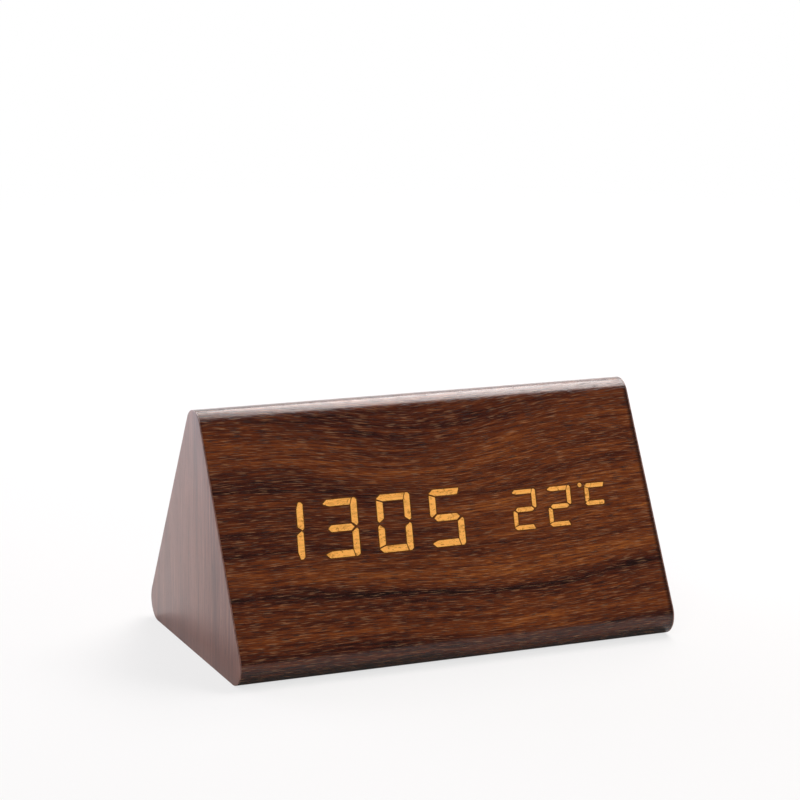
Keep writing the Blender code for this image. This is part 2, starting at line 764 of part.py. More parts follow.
def cell_space_mesh():
    low = (tub_x - tub_half_length, TUB_Y - tub_half_height, cell_z - BED_DROP)
    high = (tub_x + tub_half_length, TUB_Y + tub_half_height, OVERRUN)
    return box_mesh("cell space", low, high)


def cell_beds_mesh():
    """Three round beds side by side, with a ridge left between them."""
    form = bmesh.new()
    reach = tub_half_length - contact_well / 2
    for y in cell_heights():
        add_rod(form, (tub_x, y, cell_z), bed_radius, -reach, reach, 28, along="X")
    return mesh_from(form, "cell beds")


def contact_wells_mesh():
    """Deeper slots across both ends of the beds, where the contact plates stand."""
    form = bmesh.new()
    for side in (-1, 1):
        inner = tub_x + side * (tub_half_length - contact_well)
        near, far = sorted((inner, tub_x + side * tub_half_length))
        low = (near, TUB_Y - tub_half_height, cell_z - CONTACT_HALF_RISE - GAP)
        high = (far, TUB_Y + tub_half_height, panel_under)
        add_box(form, low, high)
    return mesh_from(form, "contact wells")


def door_seat_mesh():
    """The recess that the door lies in."""
    low = (tub_x - door_half_length - GAP, hinge_y - GAP, door_seat)
    high = (tub_x + door_half_length + GAP, door_top + GAP, OVERRUN)
    return box_mesh("door seat", low, high)


def nail_notch_mesh():
    """The notch above the latch tongue, for a fingernail."""
    half = LATCH_WIDTH / 2
    low = (tub_x - half, door_top, panel_face - NAIL_NOTCH_DEPTH)
    high = (tub_x + half, door_top + GAP + NAIL_NOTCH_HEIGHT, OVERRUN)
    return box_mesh("nail notch", low, high)


def hinge_pockets_mesh():
    """Room under the skin for each hinge tab to swing in."""
    swing = math.hypot(HINGE_TAB_ROOT, HINGE_SKIN + GAP + HINGE_TAB_THICKNESS) + GAP
    form = bmesh.new()
    for x in hinge_tab_places():
        half = HINGE_TAB_WIDTH / 2 + GAP
        low = (x - half, hinge_y - HINGE_TAB_REACH - 2 * GAP, hinge_z - swing)
        high = (x + half, hinge_y + HINGE_OFFSET + GAP, hinge_z - HINGE_SKIN)
        add_box(form, low, high)
    return mesh_from(form, "hinge pockets")


def tab_slots_mesh():
    """Slots in the tub's end walls for the solder tabs of the first and last contacts."""
    form = bmesh.new()
    ends = ((1, cell_heights()[0]), (-1, cell_heights()[-1]))
    for side, y in ends:
        inner = tub_half_length - GAP
        outer = tub_half_length + TUB_WALL + OVERRUN
        near, far = sorted((tub_x + side * inner, tub_x + side * outer))
        low = (near, y - TAB_WIDTH / 2 - GAP, tab_low() - GAP)
        high = (far, y + TAB_WIDTH / 2 + GAP, tab_low() + CONTACT_THICKNESS + GAP)
        add_box(form, low, high)
    return mesh_from(form, "tab slots")


def tab_low():
    """The underside of a contact's solder tab."""
    return cell_z - CONTACT_HALF_RISE


def button_holes_mesh():
    form = bmesh.new()
    for x in button_places().values():
        add_rod(form, (x, BUTTON_ROW_Y, 0), BUTTON_RADIUS + GAP, panel_under - OVERRUN, OVERRUN, 28)
    return mesh_from(form, "button holes")


def button_wells_mesh():
    """The inside of each button collar and of the microphone's, and the boss pilots."""
    form = bmesh.new()
    for x in button_places().values():
        add_rod(
            form, (x, BUTTON_ROW_Y, 0), BUTTON_FLANGE_RADIUS + GAP,
            panel_under - COLLAR_DEPTH - OVERRUN, panel_under, 28,
        )
    add_rod(
        form, (microphone_x, MICROPHONE_Y, 0), MICROPHONE_RADIUS + GAP,
        panel_under - MICROPHONE_HEIGHT - OVERRUN, panel_under, 20,
    )
    for x, y in boss_places():
        add_rod(form, (x, y, 0), SCREW_RADIUS + GAP, control_top - OVERRUN, panel_under, 12)
    return mesh_from(form, "button wells")


def small_holes_mesh():
    """The jack's hole, the microphone's hole and the vent slots."""
    form = bmesh.new()
    add_rod(form, (jack_x, JACK_Y, 0), JACK_SNOUT_RADIUS + GAP, panel_under - OVERRUN, OVERRUN, 28)
    add_rod(form, (microphone_x, MICROPHONE_Y, 0), MICROPHONE_HOLE_RADIUS, panel_under - OVERRUN, OVERRUN, 12)
    for x in vent_places():
        low = (x - VENT_WIDTH / 2, JACK_Y - VENT_HEIGHT / 2, panel_under - OVERRUN)
        high = (x + VENT_WIDTH / 2, JACK_Y + VENT_HEIGHT / 2, OVERRUN)
        add_box(form, low, high)
    return mesh_from(form, "small holes")


def countersinks_mesh():
    """A clearance hole and a cone for each panel screw."""
    slope = (SCREW_HEAD_RADIUS - SCREW_RADIUS) / SCREW_HEAD
    sink = GAP * (slope + math.hypot(1, slope))
    profile = [
        (0, OVERRUN), (SCREW_HEAD_RADIUS + sink, OVERRUN), (SCREW_HEAD_RADIUS + sink, panel_face),
        (SCREW_RADIUS + sink, panel_face - SCREW_HEAD), (SCREW_RADIUS + sink, panel_under - OVERRUN),
        (0, panel_under - OVERRUN),
    ]
    one = turned_mesh("countersink", profile, SCREW_STEPS)
    form = bmesh.new()
    for x, y in panel_screw_places():
        before = set(form.verts)
        form.from_mesh(one)
        bmesh.ops.translate(form, verts=[v for v in form.verts if v not in before], vec=(x, y, 0))
    bpy.data.meshes.remove(one)
    return mesh_from(form, "countersinks")


# Battery door
def battery_door():
    """The lid, in a frame on its hinge line, with hinge tabs, a slotted latch tongue and grip ridges."""
    hinge_frame = empty_frame("hinge frame", (tub_x, hinge_y, hinge_z), (0, 0, 0))
    hinge_frame.parent = rear_frame
    top = door_top - hinge_y
    edge = GAP / 2
    low = (-door_half_length, edge, -DOOR_THICKNESS)
    high = (door_half_length, top, 0)
    door = piece("battery_door", box_mesh("battery_door", low, high), black_abs, hinge_frame)

    tabs = bmesh.new()
    tab_top = -HINGE_SKIN - GAP
    for side in (-1, 1):
        x = side * HINGE_TAB_SPREAD
        low = (x - HINGE_TAB_WIDTH / 2, -HINGE_TAB_REACH, tab_top - HINGE_TAB_THICKNESS)
        high = (x + HINGE_TAB_WIDTH / 2, HINGE_TAB_ROOT, tab_top)
        add_box(tabs, low, high)
    join(door, tool("hinge tabs", mesh_from(tabs, "hinge tabs"), hinge_frame))

    slots = bmesh.new()
    half = LATCH_WIDTH / 2
    for near, far in ((-half - LATCH_SLOT, -half), (half, half + LATCH_SLOT)):
        add_box(slots, (near, top - LATCH_LENGTH, -DOOR_THICKNESS - OVERRUN), (far, top + OVERRUN, OVERRUN))
    cut(door, tool("latch slots", mesh_from(slots, "latch slots"), hinge_frame))

    ridges = bmesh.new()
    for i in range(LATCH_RIDGE_COUNT):
        y = top - LATCH_RIDGE_PITCH * (i + 1)
        low = (-half + LATCH_RIDGE_WIDTH, y - LATCH_RIDGE_WIDTH / 2, -GAP)
        high = (half - LATCH_RIDGE_WIDTH, y + LATCH_RIDGE_WIDTH / 2, LATCH_RIDGE_HEIGHT)
        add_box(ridges, low, high)
    join(door, tool("latch ridges", mesh_from(ridges, "latch ridges"), hinge_frame))


# Cells, contacts and springs
def battery_cells():
    """Three AAA cells lying in their beds, the middle one turned round, with contacts at both ends."""
    right = tub_x + tub_half_length
    left = tub_x - tub_half_length
    body_end = CELL_LENGTH - CELL_NUB_LENGTH
    radius = CELL_DIAMETER / 2
    nub = CELL_NUB_DIAMETER / 2
    crown = CELL_CROWN_BEVEL
    profile = [
        (0, CELL_LENGTH), (nub, CELL_LENGTH), (nub, body_end), (radius - crown, body_end),
        (radius, body_end - crown), (radius, crown), (radius - crown, 0), (0, 0),
    ]
    cell_mesh = turned_mesh("aaa_cell", profile, 20)
    cell_mesh.materials.append(cell_label)
    heights = cell_heights()
    for number, y in enumerate(heights, 1):
        turned_round = number % 2 == 0
        side = -1 if turned_round else 1
        end = right if side > 0 else left
        made = bpy.data.objects.new(f"aaa_cell_{number}", cell_mesh)
        parts.objects.link(made)
        made.parent = rear_frame
        made.location = (end - side * (contact_well + CELL_LENGTH), y, cell_z)
        made.rotation_euler = (0, side * math.pi / 2, 0)
        far_end = left if side > 0 else right
        battery_spring(number, far_end + side * contact_well, y, side)

    battery_contact(1, right, -1, heights[:1], heights[0])
    battery_contact(2, left, 1, heights[:2], None)
    battery_contact(3, right, -1, heights[1:], None)
    battery_contact(4, left, 1, heights[2:], heights[-1])


def battery_contact(number, wall, inward, rows, tab_y):
    """A nickel plate on the tub's end wall, covering one cell or linking two, maybe with a solder tab."""
    name = f"battery_contact_{number}"
    near, far = sorted((wall + inward * GAP, wall + inward * (GAP + CONTACT_THICKNESS)))
    low = (near, min(rows) - CONTACT_HALF_WIDTH, cell_z - CONTACT_HALF_RISE)
    high = (far, max(rows) + CONTACT_HALF_WIDTH, cell_z + CONTACT_HALF_RISE)
    made = piece(name, box_mesh(name, low, high), spring_steel, rear_frame)
    if tab_y is None:
        return
    outward = -inward
    reach = sorted((wall - outward * (GAP + CONTACT_THICKNESS / 2), wall + outward * (TUB_WALL + TAB_REACH)))
    low = (reach[0], tab_y - TAB_WIDTH / 2, tab_low())
    high = (reach[1], tab_y + TAB_WIDTH / 2, tab_low() + CONTACT_THICKNESS)
    join(made, tool(name + " tab", box_mesh(name + " tab", low, high), rear_frame))


def spring_points(start, y, side):
    """A tapered coil of one unbroken wire, wide at its contact plate."""
    wire = SPRING_WIRE / 2
    count = SPRING_TURNS * SPRING_POINTS_PER_TURN
    points = []
    for i in range(count + 1):
        share = i / count
        radius = SPRING_WIDE_RADIUS + (SPRING_NARROW_RADIUS - SPRING_WIDE_RADIUS) * share
        turn = 2 * math.pi * SPRING_TURNS * share
        along = wire + (SPRING_LENGTH - SPRING_WIRE) * share
        points.append((start + side * along, y + radius * math.cos(turn), cell_z + radius * math.sin(turn)))
    return points


def least_spring_gap(points):
    """The least clear distance between turns, measured on the spring's own points."""
    apart = SPRING_POINTS_PER_TURN // 2
    best = min(
        (Vector(a) - Vector(b)).length
        for i, a in enumerate(points)
        for b in points[i + apart:]
    )
    return best - SPRING_WIRE


def battery_spring(number, start, y, side):
    points = spring_points(start, y, side)
    tube(f"battery_spring_{number}", points, SPRING_WIRE / 2, LEAD_SIDES_RESOLUTION, spring_steel, rear_frame)
    print(f"battery_spring_{number}: least gap between turns {least_spring_gap(points) * 1000:.2f} mm")


# Buttons
def buttons():
    """Three retained push buttons, each over the plunger of its own switch."""
    dish = BUTTON_DISH
    edge = BUTTON_EDGE
    crown = panel_face + BUTTON_RISE
    cap_profile = [
        (0, crown - dish), (BUTTON_RADIUS / 2, crown - dish), (BUTTON_RADIUS - 2 * edge, crown),
        (BUTTON_RADIUS - edge, crown), (BUTTON_RADIUS, crown - edge), (BUTTON_RADIUS, flange_top),
        (BUTTON_FLANGE_RADIUS, flange_top), (BUTTON_FLANGE_RADIUS, flange_bottom), (0, flange_bottom),
    ]
    plunger_profile = [
        (0, plunger_top), (PLUNGER_RADIUS, plunger_top), (PLUNGER_RADIUS, plunger_top - PLUNGER_LENGTH),
        (0, plunger_top - PLUNGER_LENGTH),
    ]
    cap_mesh = turned_mesh("button cap", cap_profile, 24)
    cap_mesh.materials.append(button_abs)
    plunger_mesh = turned_mesh("switch plunger", plunger_profile, 16)
    plunger_mesh.materials.append(plunger_plastic)
    half = SWITCH_SIDE / 2
    body = box_mesh("switch body", (-half, -half, switch_bottom), (half, half, switch_top), SWITCH_EDGE)
    holder = tool("switch body", body)
    floor = switch_top - SWITCH_BORE_DEPTH
    bore = rod_mesh("switch bore", PLUNGER_RADIUS + GAP, floor, switch_top + OVERRUN, 16)
    bore_tool = tool("switch bore", bore)
    cut(holder, bore_tool)
    body = finished_mesh(holder)
    bpy.data.objects.remove(holder)
    bpy.data.objects.remove(bore_tool)
    body.materials.append(switch_plastic)
    for name, x in button_places().items():
        for kind, mesh in (("button", cap_mesh), ("plunger", plunger_mesh), ("switch", body)):
            made = bpy.data.objects.new(f"{name}_{kind}", mesh)
            parts.objects.link(made)
            made.parent = rear_frame
            made.location = (x, BUTTON_ROW_Y, 0)


# Control board and its components
def control_board():
    """The board behind the buttons, with holes for its screws and the jack's pin."""
    outline = rounded_rectangle(
        CONTROL_LENGTH / 2, CONTROL_HEIGHT / 2, CONTROL_RADIUS, steps=2, middle=(control_x, 0),
    )
    full = 2 * math.pi
    holes = [arc(place, SCREW_RADIUS + GAP, 0, full, SCREW_STEPS)[:-1] for place in boss_places()]
    mesh = plate_mesh("control_board", [outline, *holes], control_bottom, control_top)
    piece("control_board", mesh, circuit_green, rear_frame)
    screw = screw_mesh("board screw", BOARD_SCREW_LENGTH, False)
    places = boss_places()
    head_top = control_bottom - GAP - SCREW_HEAD
    screws("control_board_screw", screw, [places[0], places[2]], head_top, rear_frame, True)


def dc_jack():
    """The power inlet: a block on the board, a round snout in the panel and a centre pin."""
    half = JACK_SIDE / 2
    block_top = panel_under - GAP
    low = (jack_x - half, JACK_Y - half, control_top + GAP)
    high = (jack_x + half, JACK_Y + half, block_top)
    jack = piece("dc_jack", box_mesh("dc_jack", low, high), switch_plastic, rear_frame)
    snout = rod_mesh("jack snout", JACK_SNOUT_RADIUS, block_top - GAP, panel_face - GAP, 28)
    join(jack, tool("jack snout", snout, rear_frame, (jack_x, JACK_Y, 0)))
    floor = panel_face - JACK_BORE_DEPTH
    bore = rod_mesh("jack bore", JACK_BORE_RADIUS, floor, OVERRUN, 24)
    cut(jack, tool("jack bore", bore, rear_frame, (jack_x, JACK_Y, 0)))
    socket = rod_mesh("pin socket", JACK_PIN_RADIUS + GAP, control_top, floor + OVERRUN, 16)
    cut(jack, tool("pin socket", socket, rear_frame, (jack_x, JACK_Y, 0)))
    top = panel_face - 2 * GAP
    profile = [
        (0, top), (JACK_PIN_RADIUS - JACK_PIN_TIP / 2, top), (JACK_PIN_RADIUS, top - JACK_PIN_TIP),
        (JACK_PIN_RADIUS, control_top + GAP), (0, control_top + GAP),
    ]
    piece("dc_jack_pin", turned_mesh("dc_jack_pin", profile, 16), brass, rear_frame, (jack_x, JACK_Y, 0))


def small_components():
    """Microphone, temperature sensor, buzzer, crystal and microcontroller."""
    top = panel_under - GAP
    capsule = rod_mesh("microphone", MICROPHONE_RADIUS, top - MICROPHONE_HEIGHT, top, 20)
    piece("microphone", capsule, zinc_steel, rear_frame, (microphone_x, MICROPHONE_Y, 0))

    form = bmesh.new()
    centre = Matrix.Translation((0, 0, control_top + GAP + THERMISTOR_RISE))
    bmesh.ops.create_uvsphere(
        form, u_segments=12, v_segments=8, radius=THERMISTOR_RADIUS, matrix=centre,
    )
    bead = piece("thermistor", mesh_from(form, "thermistor"), chip_epoxy, rear_frame, (vent_x, JACK_Y, 0))
    legs = bmesh.new()
    for side in (-1, 1):
        middle = side * THERMISTOR_LEG_SPREAD / 2
        low = (middle - THERMISTOR_LEG / 2, -THERMISTOR_LEG / 2, control_top + GAP)
        high = (middle + THERMISTOR_LEG / 2, THERMISTOR_LEG / 2, control_top + GAP + THERMISTOR_RISE)
        add_box(legs, low, high)
    join(bead, tool("sensor legs", mesh_from(legs, "sensor legs"), rear_frame, (vent_x, JACK_Y, 0)))

    seat = control_bottom - GAP
    end = seat - BUZZER_HEIGHT
    profile = [
        (0, seat), (BUZZER_RADIUS, seat), (BUZZER_RADIUS, end), (BUZZER_HOLE_RADIUS, end),
        (BUZZER_HOLE_RADIUS, end + BUZZER_HOLE_DEPTH), (0, end + BUZZER_HOLE_DEPTH),
    ]
    piece("buzzer", turned_mesh("buzzer", profile, 24), switch_plastic, rear_frame, (buzzer_x, BUZZER_Y, 0))

    form = bmesh.new()
    half = CRYSTAL_LENGTH / 2
    height = seat - CRYSTAL_RADIUS
    add_rod(form, (crystal_x, CRYSTAL_Y, height), CRYSTAL_RADIUS, -half, half, 14, along="X")
    piece("crystal", mesh_from(form, "crystal"), zinc_steel, rear_frame)

    chip("mcu_chip", rear_frame, (mcu_x, MCU_Y, seat))
    chip("display_driver", front_frame, (DRIVER_X, DRIVER_Y, module_board_back - GAP))


def chip(name, frame, place):
    """A surface-mounted chip hanging under its board: body and two rows of gull-wing legs."""
    half_length = CHIP_BODY_LENGTH / 2
    half_width = CHIP_BODY_WIDTH / 2
    foot = -CHIP_LEG_THICKNESS
    low = (-half_length, -half_width, -CHIP_BODY_HEIGHT)
    high = (half_length, half_width, foot)
    made = piece(name, box_mesh(name, low, high), chip_epoxy, frame, place)
    reach = half_width + CHIP_LEG_REACH
    shoulder = -CHIP_BODY_HEIGHT / 2
    thick = CHIP_LEG_THICKNESS
    staple = [
        (-reach, 0), (-reach, shoulder), (reach, shoulder), (reach, 0),
        (reach - thick, 0), (reach - thick, shoulder + thick),
        (thick - reach, shoulder + thick), (thick - reach, 0),
    ]
    one = plate_mesh(name + " leg pair", [staple], -CHIP_LEG_WIDTH / 2, CHIP_LEG_WIDTH / 2)
    one.transform(section_turn)
    legs = bmesh.new()
    for i in range(CHIP_LEG_COUNT):
        x = (i - (CHIP_LEG_COUNT - 1) / 2) * CHIP_LEG_PITCH
        before = set(legs.verts)
        legs.from_mesh(one)
        bmesh.ops.translate(legs, verts=[v for v in legs.verts if v not in before], vec=(x, 0, 0))
    bpy.data.meshes.remove(one)
    join(made, tool(name + " legs", mesh_from(legs, name + " legs"), frame, place))


# Display module
def segment_outlines(half_width, half_height, stroke):
    """The seven segments of a digit round its middle: each outline, and whether it stands upright."""
    def outline(shares, flip):
        return [
            (side * half_width + across * stroke, flip * (level * half_height + up * stroke))
            for side, across, level, up in (shares if flip > 0 else reversed(shares))
        ]

    segments = []
    for flip in (1, -1):
        segments.append((outline(TOP_SHARES, flip), False))
        segments.append((outline(TOP_RIGHT_SHARES, flip), True))
        segments.append((outline(TOP_LEFT_SHARES, flip), True))
    return segments + [(outline(MIDDLE_SHARES, 1), False)]


def display_windows():
    """Every window of the display: its middle, its outline, and the half size of its light chip."""
    big_first_x = BIG_FIRST_SHARE * window_length
    big_pitch = BIG_PITCH_SHARE * window_length
    small_first_x = SMALL_FIRST_SHARE * window_length
    small_pitch = SMALL_PITCH_SHARE * window_length
    unit_x = UNIT_SHARE * window_length
    digits = [
        (big_first_x + i * big_pitch, BIG_HALF_WIDTH, BIG_HALF_HEIGHT, BIG_STROKE) for i in range(4)
    ]
    small = [(small_first_x, SMALL_HALF_WIDTH), (small_first_x + small_pitch, SMALL_HALF_WIDTH)]
    small.append((unit_x, UNIT_HALF_WIDTH))
    digits += [(x, half_width, SMALL_HALF_HEIGHT, SMALL_STROKE) for x, half_width in small]
    long, short = CHIP_LENGTH / 2, CHIP_WIDTH / 2
    windows = []
    for centre_x, half_width, half_height, stroke in digits:
        for outline, upright in segment_outlines(half_width, half_height, stroke):
            leaned = [(centre_x + x + DIGIT_SLANT_SHARE * y, y - DISPLAY_DROP) for x, y in outline]
            windows.append((box_middle(leaned), leaned, (short, long) if upright else (long, short)))
    colon_x = big_first_x + 3 * big_pitch / 2
    lean = DIGIT_SLANT_SHARE * COLON_RISE
    degree_x = unit_x - UNIT_HALF_WIDTH - DEGREE_OFFSET
    dots = [
        (colon_x + lean, COLON_RISE, COLON_RADIUS), (colon_x - lean, -COLON_RISE, COLON_RADIUS),
        (degree_x, SMALL_HALF_HEIGHT + DEGREE_LIFT, DEGREE_RADIUS),
    ]
    for x, y, radius in dots:
        middle = (x, y - DISPLAY_DROP)
        ring = arc(middle, radius, 0, 2 * math.pi, 10)[:-1]
        windows.append((middle, ring, (short, short)))
    return windows


def box_middle(outline):
    """The middle of an outline's own box."""
    xs = [x for x, _ in outline]
    ys = [y for _, y in outline]
    return ((min(xs) + max(xs)) / 2, (min(ys) + max(ys)) / 2)


def display_module():
    """Diffuser, reflector with a tapered cavity for each segment, and the board with its chips."""
    half_x = window_length / 2 - GAP
    half_y = WINDOW_HEIGHT / 2 - GAP
    body = rounded_rectangle(half_x, half_y, GAP, steps=1)
    diffuser = plate_mesh("display_diffuser", [body], diffuser_face - DIFFUSER, diffuser_face)
    piece("display_diffuser", diffuser, frosted_plastic, front_frame)

    block = plate_mesh("display_reflector", [body], reflector_back, reflector_face)
    reflector = piece("display_reflector", block, white_plastic, front_frame)
    full = 2 * math.pi
    holes = [arc(place, SCREW_RADIUS + GAP, 0, full, SCREW_STEPS)[:-1] for place in module_screw_places()]
    outline = rounded_rectangle(flange_length / 2, flange_height / 2, FLANGE_RADIUS, steps=2)
    flange = plate_mesh("reflector flange", [outline, *holes], reflector_back, flange_face)
    join(reflector, tool("reflector flange", flange, front_frame))
    cut(reflector, tool("segment cavities", cavities_mesh(), front_frame))

    board = plate_mesh("display_board", [outline, *holes], module_board_back, module_board_face)
    circuit = piece("display_board", board, circuit_green, front_frame)
    join(circuit, tool("led chips", led_chips_mesh(), front_frame))
    screw = screw_mesh("module screw", MODULE_SCREW_LENGTH, False)
    screws("display_screw", screw, module_screw_places(), module_head_top(), front_frame, True)


def cavities_mesh():
    """One solid for each segment, as wide as the segment in front and narrower at its chip."""
    form = bmesh.new()
    front = reflector_face + OVERRUN
    back = reflector_back - OVERRUN
    for middle, outline, _ in display_windows():
        rings = []
        for z, share in ((front, 1.0), (back, CAVITY_TAPER_SHARE)):
            ring = [
                form.verts.new((middle[0] + (x - middle[0]) * share, middle[1] + (y - middle[1]) * share, z))
                for x, y in outline
            ]
            rings.append(ring)
        form.faces.new(rings[0])
        form.faces.new(rings[1][::-1])
        count = len(outline)
        for i in range(count):
            j = (i + 1) % count
            form.faces.new((rings[0][i], rings[1][i], rings[1][j], rings[0][j]))
    return mesh_from(form, "segment cavities")


def led_chips_mesh():
    """A small light chip under the middle of each cavity."""
    form = bmesh.new()
    for (x, y), _, (half_x, half_y) in display_windows():
        low = (x - half_x, y - half_y, module_board_face - CIRCUIT_BOARD / 2)
        high = (x + half_x, y + half_y, module_board_face + CHIP_HEIGHT)
        add_box(form, low, high)
    return mesh_from(form, "led chips")


# Leads
def smooth_route(places):
    """Points on a smooth curve through these places."""
    padded = [places[0], *places, places[-1]]
    points = []
    for before, start, end, after in zip(padded, padded[1:], padded[2:], padded[3:]):
        for i in range(ROUTE_STEPS):
            t = i / ROUTE_STEPS
            weights = (
                (-t + 2 * t ** 2 - t ** 3) / 2, (2 - 5 * t ** 2 + 3 * t ** 3) / 2,
                (t + 4 * t ** 2 - 3 * t ** 3) / 2, (t ** 3 - t ** 2) / 2,
            )
            nearby = (before, start, end, after)
            points.append(tuple(sum(w * p[k] for w, p in zip(weights, nearby)) for k in range(len(start))))
    return points + [tuple(places[-1])]


def leads():
    """The two battery leads, from the solder tabs to the control board, and the flat ribbon."""
    heights = cell_heights()
    tab_x = tub_length / 2 + TAB_REACH - TAB_WIDTH / 2
    tab_z = tab_low() - GAP
    pad_z = control_bottom - GAP
    deep = tub_bottom - 2 * LEAD_RADIUS
    near = tub_x + tab_x
    red = smooth_route([
        (near, heights[0], tab_z), (near, heights[0], tab_z - LEAD_BEND),
        ((near + lead_pad_x) / 2, (heights[0] + LEAD_PAD_Y) / 2, deep - LEAD_BEND),
        (lead_pad_x, LEAD_PAD_Y, pad_z - LEAD_BEND), (lead_pad_x, LEAD_PAD_Y, pad_z),
    ])
    far = tub_x - tab_x
    black = smooth_route([
        (far, heights[-1], tab_z), (far, heights[-1], tab_z - LEAD_BEND),
        (far + 2 * LEAD_BEND, heights[-1] + LEAD_BEND, deep - LEAD_BEND),
        (tub_x, heights[-1] + 2 * LEAD_BEND, deep - LEAD_BEND / 2),
        (near - LEAD_BEND, heights[-1] + LEAD_BEND, deep - LEAD_BEND),
        (lead_pad_x, -LEAD_PAD_Y, pad_z - LEAD_BEND), (lead_pad_x, -LEAD_PAD_Y, pad_z),
    ])
    tube("battery_lead_red", red, LEAD_RADIUS, LEAD_SIDES_RESOLUTION, red_sleeve, rear_frame)
    tube("battery_lead_black", black, LEAD_RADIUS, LEAD_SIDES_RESOLUTION, black_sleeve, rear_frame)

    def in_section(frame, depth):
        place = frame.matrix_world @ Vector((0, RIBBON_Y, depth))
        return (place.y, place.z)

    start = in_section(front_frame, module_board_back - GAP)
    end = in_section(rear_frame, control_bottom - GAP)
    leave = in_section(front_frame, module_board_back - GAP - RIBBON_STRAIGHT)
    arrive = in_section(rear_frame, control_bottom - GAP - RIBBON_STRAIGHT)
    sag = ((leave[0] + arrive[0]) / 2, (leave[1] + arrive[1]) / 2 - RIBBON_SAG)
    route = smooth_route([start, leave, sag, arrive, end])
    outline = strip_outline(route, RIBBON_THICKNESS)
    low = ribbon_x - RIBBON_WIDTH / 2
    ribbon = plate_mesh("display_ribbon", [outline], low, low + RIBBON_WIDTH)
    smooth(ribbon)
    piece("display_ribbon", ribbon, grey_ribbon, section_frame)


def strip_outline(route, thickness):
    """A band of even thickness along a flat route."""
    sides = ([], [])
    for i, place in enumerate(route):
        before = Vector(route[max(i - 1, 0)])
        after = Vector(route[min(i + 1, len(route) - 1)])
        ahead = (after - before).normalized()
        square = Vector((-ahead.y, ahead.x)) * thickness / 2
        sides[0].append(tuple(Vector(place) + square))
        sides[1].append(tuple(Vector(place) - square))
    return sides[0] + sides[1][::-1]


def main():
    case_laminate()
    case_boards()
    rear_insert()
    battery_door()
    battery_cells()
    buttons()
    control_board()
    dc_jack()
    small_components()
    display_module()
    leads()
    panel_screw = screw_mesh("panel screw", PANEL_SCREW_LENGTH, True)
    screws("rear_panel_screw", panel_screw, panel_screw_places(), panel_face - GAP, rear_frame, False)


main()
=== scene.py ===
# Wooden digital alarm clock: the looks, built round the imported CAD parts.
# Metres, Z up, front face towards -Y. The CAD parts stay where they are.
import math
from functools import partial

import bmesh
import bpy
import numpy as np
from mathutils import Matrix, Vector


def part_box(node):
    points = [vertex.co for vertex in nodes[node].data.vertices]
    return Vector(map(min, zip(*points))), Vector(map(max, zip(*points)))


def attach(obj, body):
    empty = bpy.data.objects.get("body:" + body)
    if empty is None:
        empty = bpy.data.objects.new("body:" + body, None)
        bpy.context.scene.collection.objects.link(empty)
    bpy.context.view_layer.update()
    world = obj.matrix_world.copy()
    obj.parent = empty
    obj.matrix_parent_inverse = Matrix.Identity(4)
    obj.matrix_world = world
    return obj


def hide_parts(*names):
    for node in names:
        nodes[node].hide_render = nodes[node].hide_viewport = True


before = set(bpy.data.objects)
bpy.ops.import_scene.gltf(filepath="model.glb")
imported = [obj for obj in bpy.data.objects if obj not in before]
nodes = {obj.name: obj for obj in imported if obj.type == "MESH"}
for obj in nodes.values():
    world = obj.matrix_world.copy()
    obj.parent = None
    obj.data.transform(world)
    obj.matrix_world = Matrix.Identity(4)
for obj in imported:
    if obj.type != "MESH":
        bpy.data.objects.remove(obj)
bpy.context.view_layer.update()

mm = 0.001
scene = bpy.context.scene


# small helpers
def toObjectMode():
    if bpy.context.object and bpy.context.object.mode != "OBJECT":
        bpy.ops.object.mode_set(mode="OBJECT")


def clearSelection():
    toObjectMode()
    bpy.ops.object.select_all(action="DESELECT")


def makeActive(piece):
    clearSelection()
    piece.select_set(True)
    bpy.context.view_layer.objects.active = piece


def edit(piece, kind="FACE"):
    # edit mode with nothing selected
    makeActive(piece)
    bpy.ops.object.mode_set(mode="EDIT")
    bpy.ops.mesh.select_mode(type=kind)
    bpy.ops.mesh.select_all(action="DESELECT")


def pick(piece, kind, test):
    # selects the verts, edges or faces that pass the test, which is given each middle and item
    shape = bmesh.from_edit_mesh(piece.data)
    bpy.ops.mesh.select_all(action="DESELECT")
    chosen = []
    for item in getattr(shape, kind):
        if kind == "verts":
            middle = item.co
        elif kind == "edges":
            middle = (item.verts[0].co + item.verts[1].co) / 2
        else:
            middle = item.calc_center_median()
        if test(middle, item):
            chosen.append(item)
    for item in chosen:
        item.select_set(True)
    bmesh.update_edit_mesh(piece.data)


def applyModifier(piece, kind, **settings):
    makeActive(piece)
    modifier = piece.modifiers.new(kind.lower(), kind)
    for name, value in settings.items():
        setattr(modifier, name, value)
    bpy.ops.object.modifier_apply(modifier=modifier.name)


def softenEdges(piece, width, segments, degrees):
    # rounds the edges sharper than this angle
    applyModifier(
        piece, "BEVEL", width=width, segments=segments, limit_method="ANGLE",
        angle_limit=math.radians(degrees),
    )


def drawOut(step):
    # extrudes what is selected
    bpy.ops.mesh.extrude_region_move(TRANSFORM_OT_translate={"value": step})


def applyPlace(piece):
    makeActive(piece)
    bpy.ops.object.transform_apply(location=True, rotation=True, scale=True)


def closeUp(piece, outward=True, distance=0.002 * mm):
    # merges doubles and turns the faces outwards
    edit(piece)
    bpy.ops.mesh.select_all(action="SELECT")
    bpy.ops.mesh.remove_doubles(threshold=distance)
    if outward:
        bpy.ops.mesh.normals_make_consistent(inside=False)
    toObjectMode()


def shadeByAngle(piece, degrees=30):
    makeActive(piece)
    bpy.ops.object.shade_smooth_by_angle(angle=math.radians(degrees))


def meshFromCurve(name, curve):
    piece = bpy.data.objects.new(name, curve)
    scene.collection.objects.link(piece)
    makeActive(piece)
    bpy.ops.object.convert(target="MESH")
    piece = bpy.context.object
    closeUp(piece)
    return piece


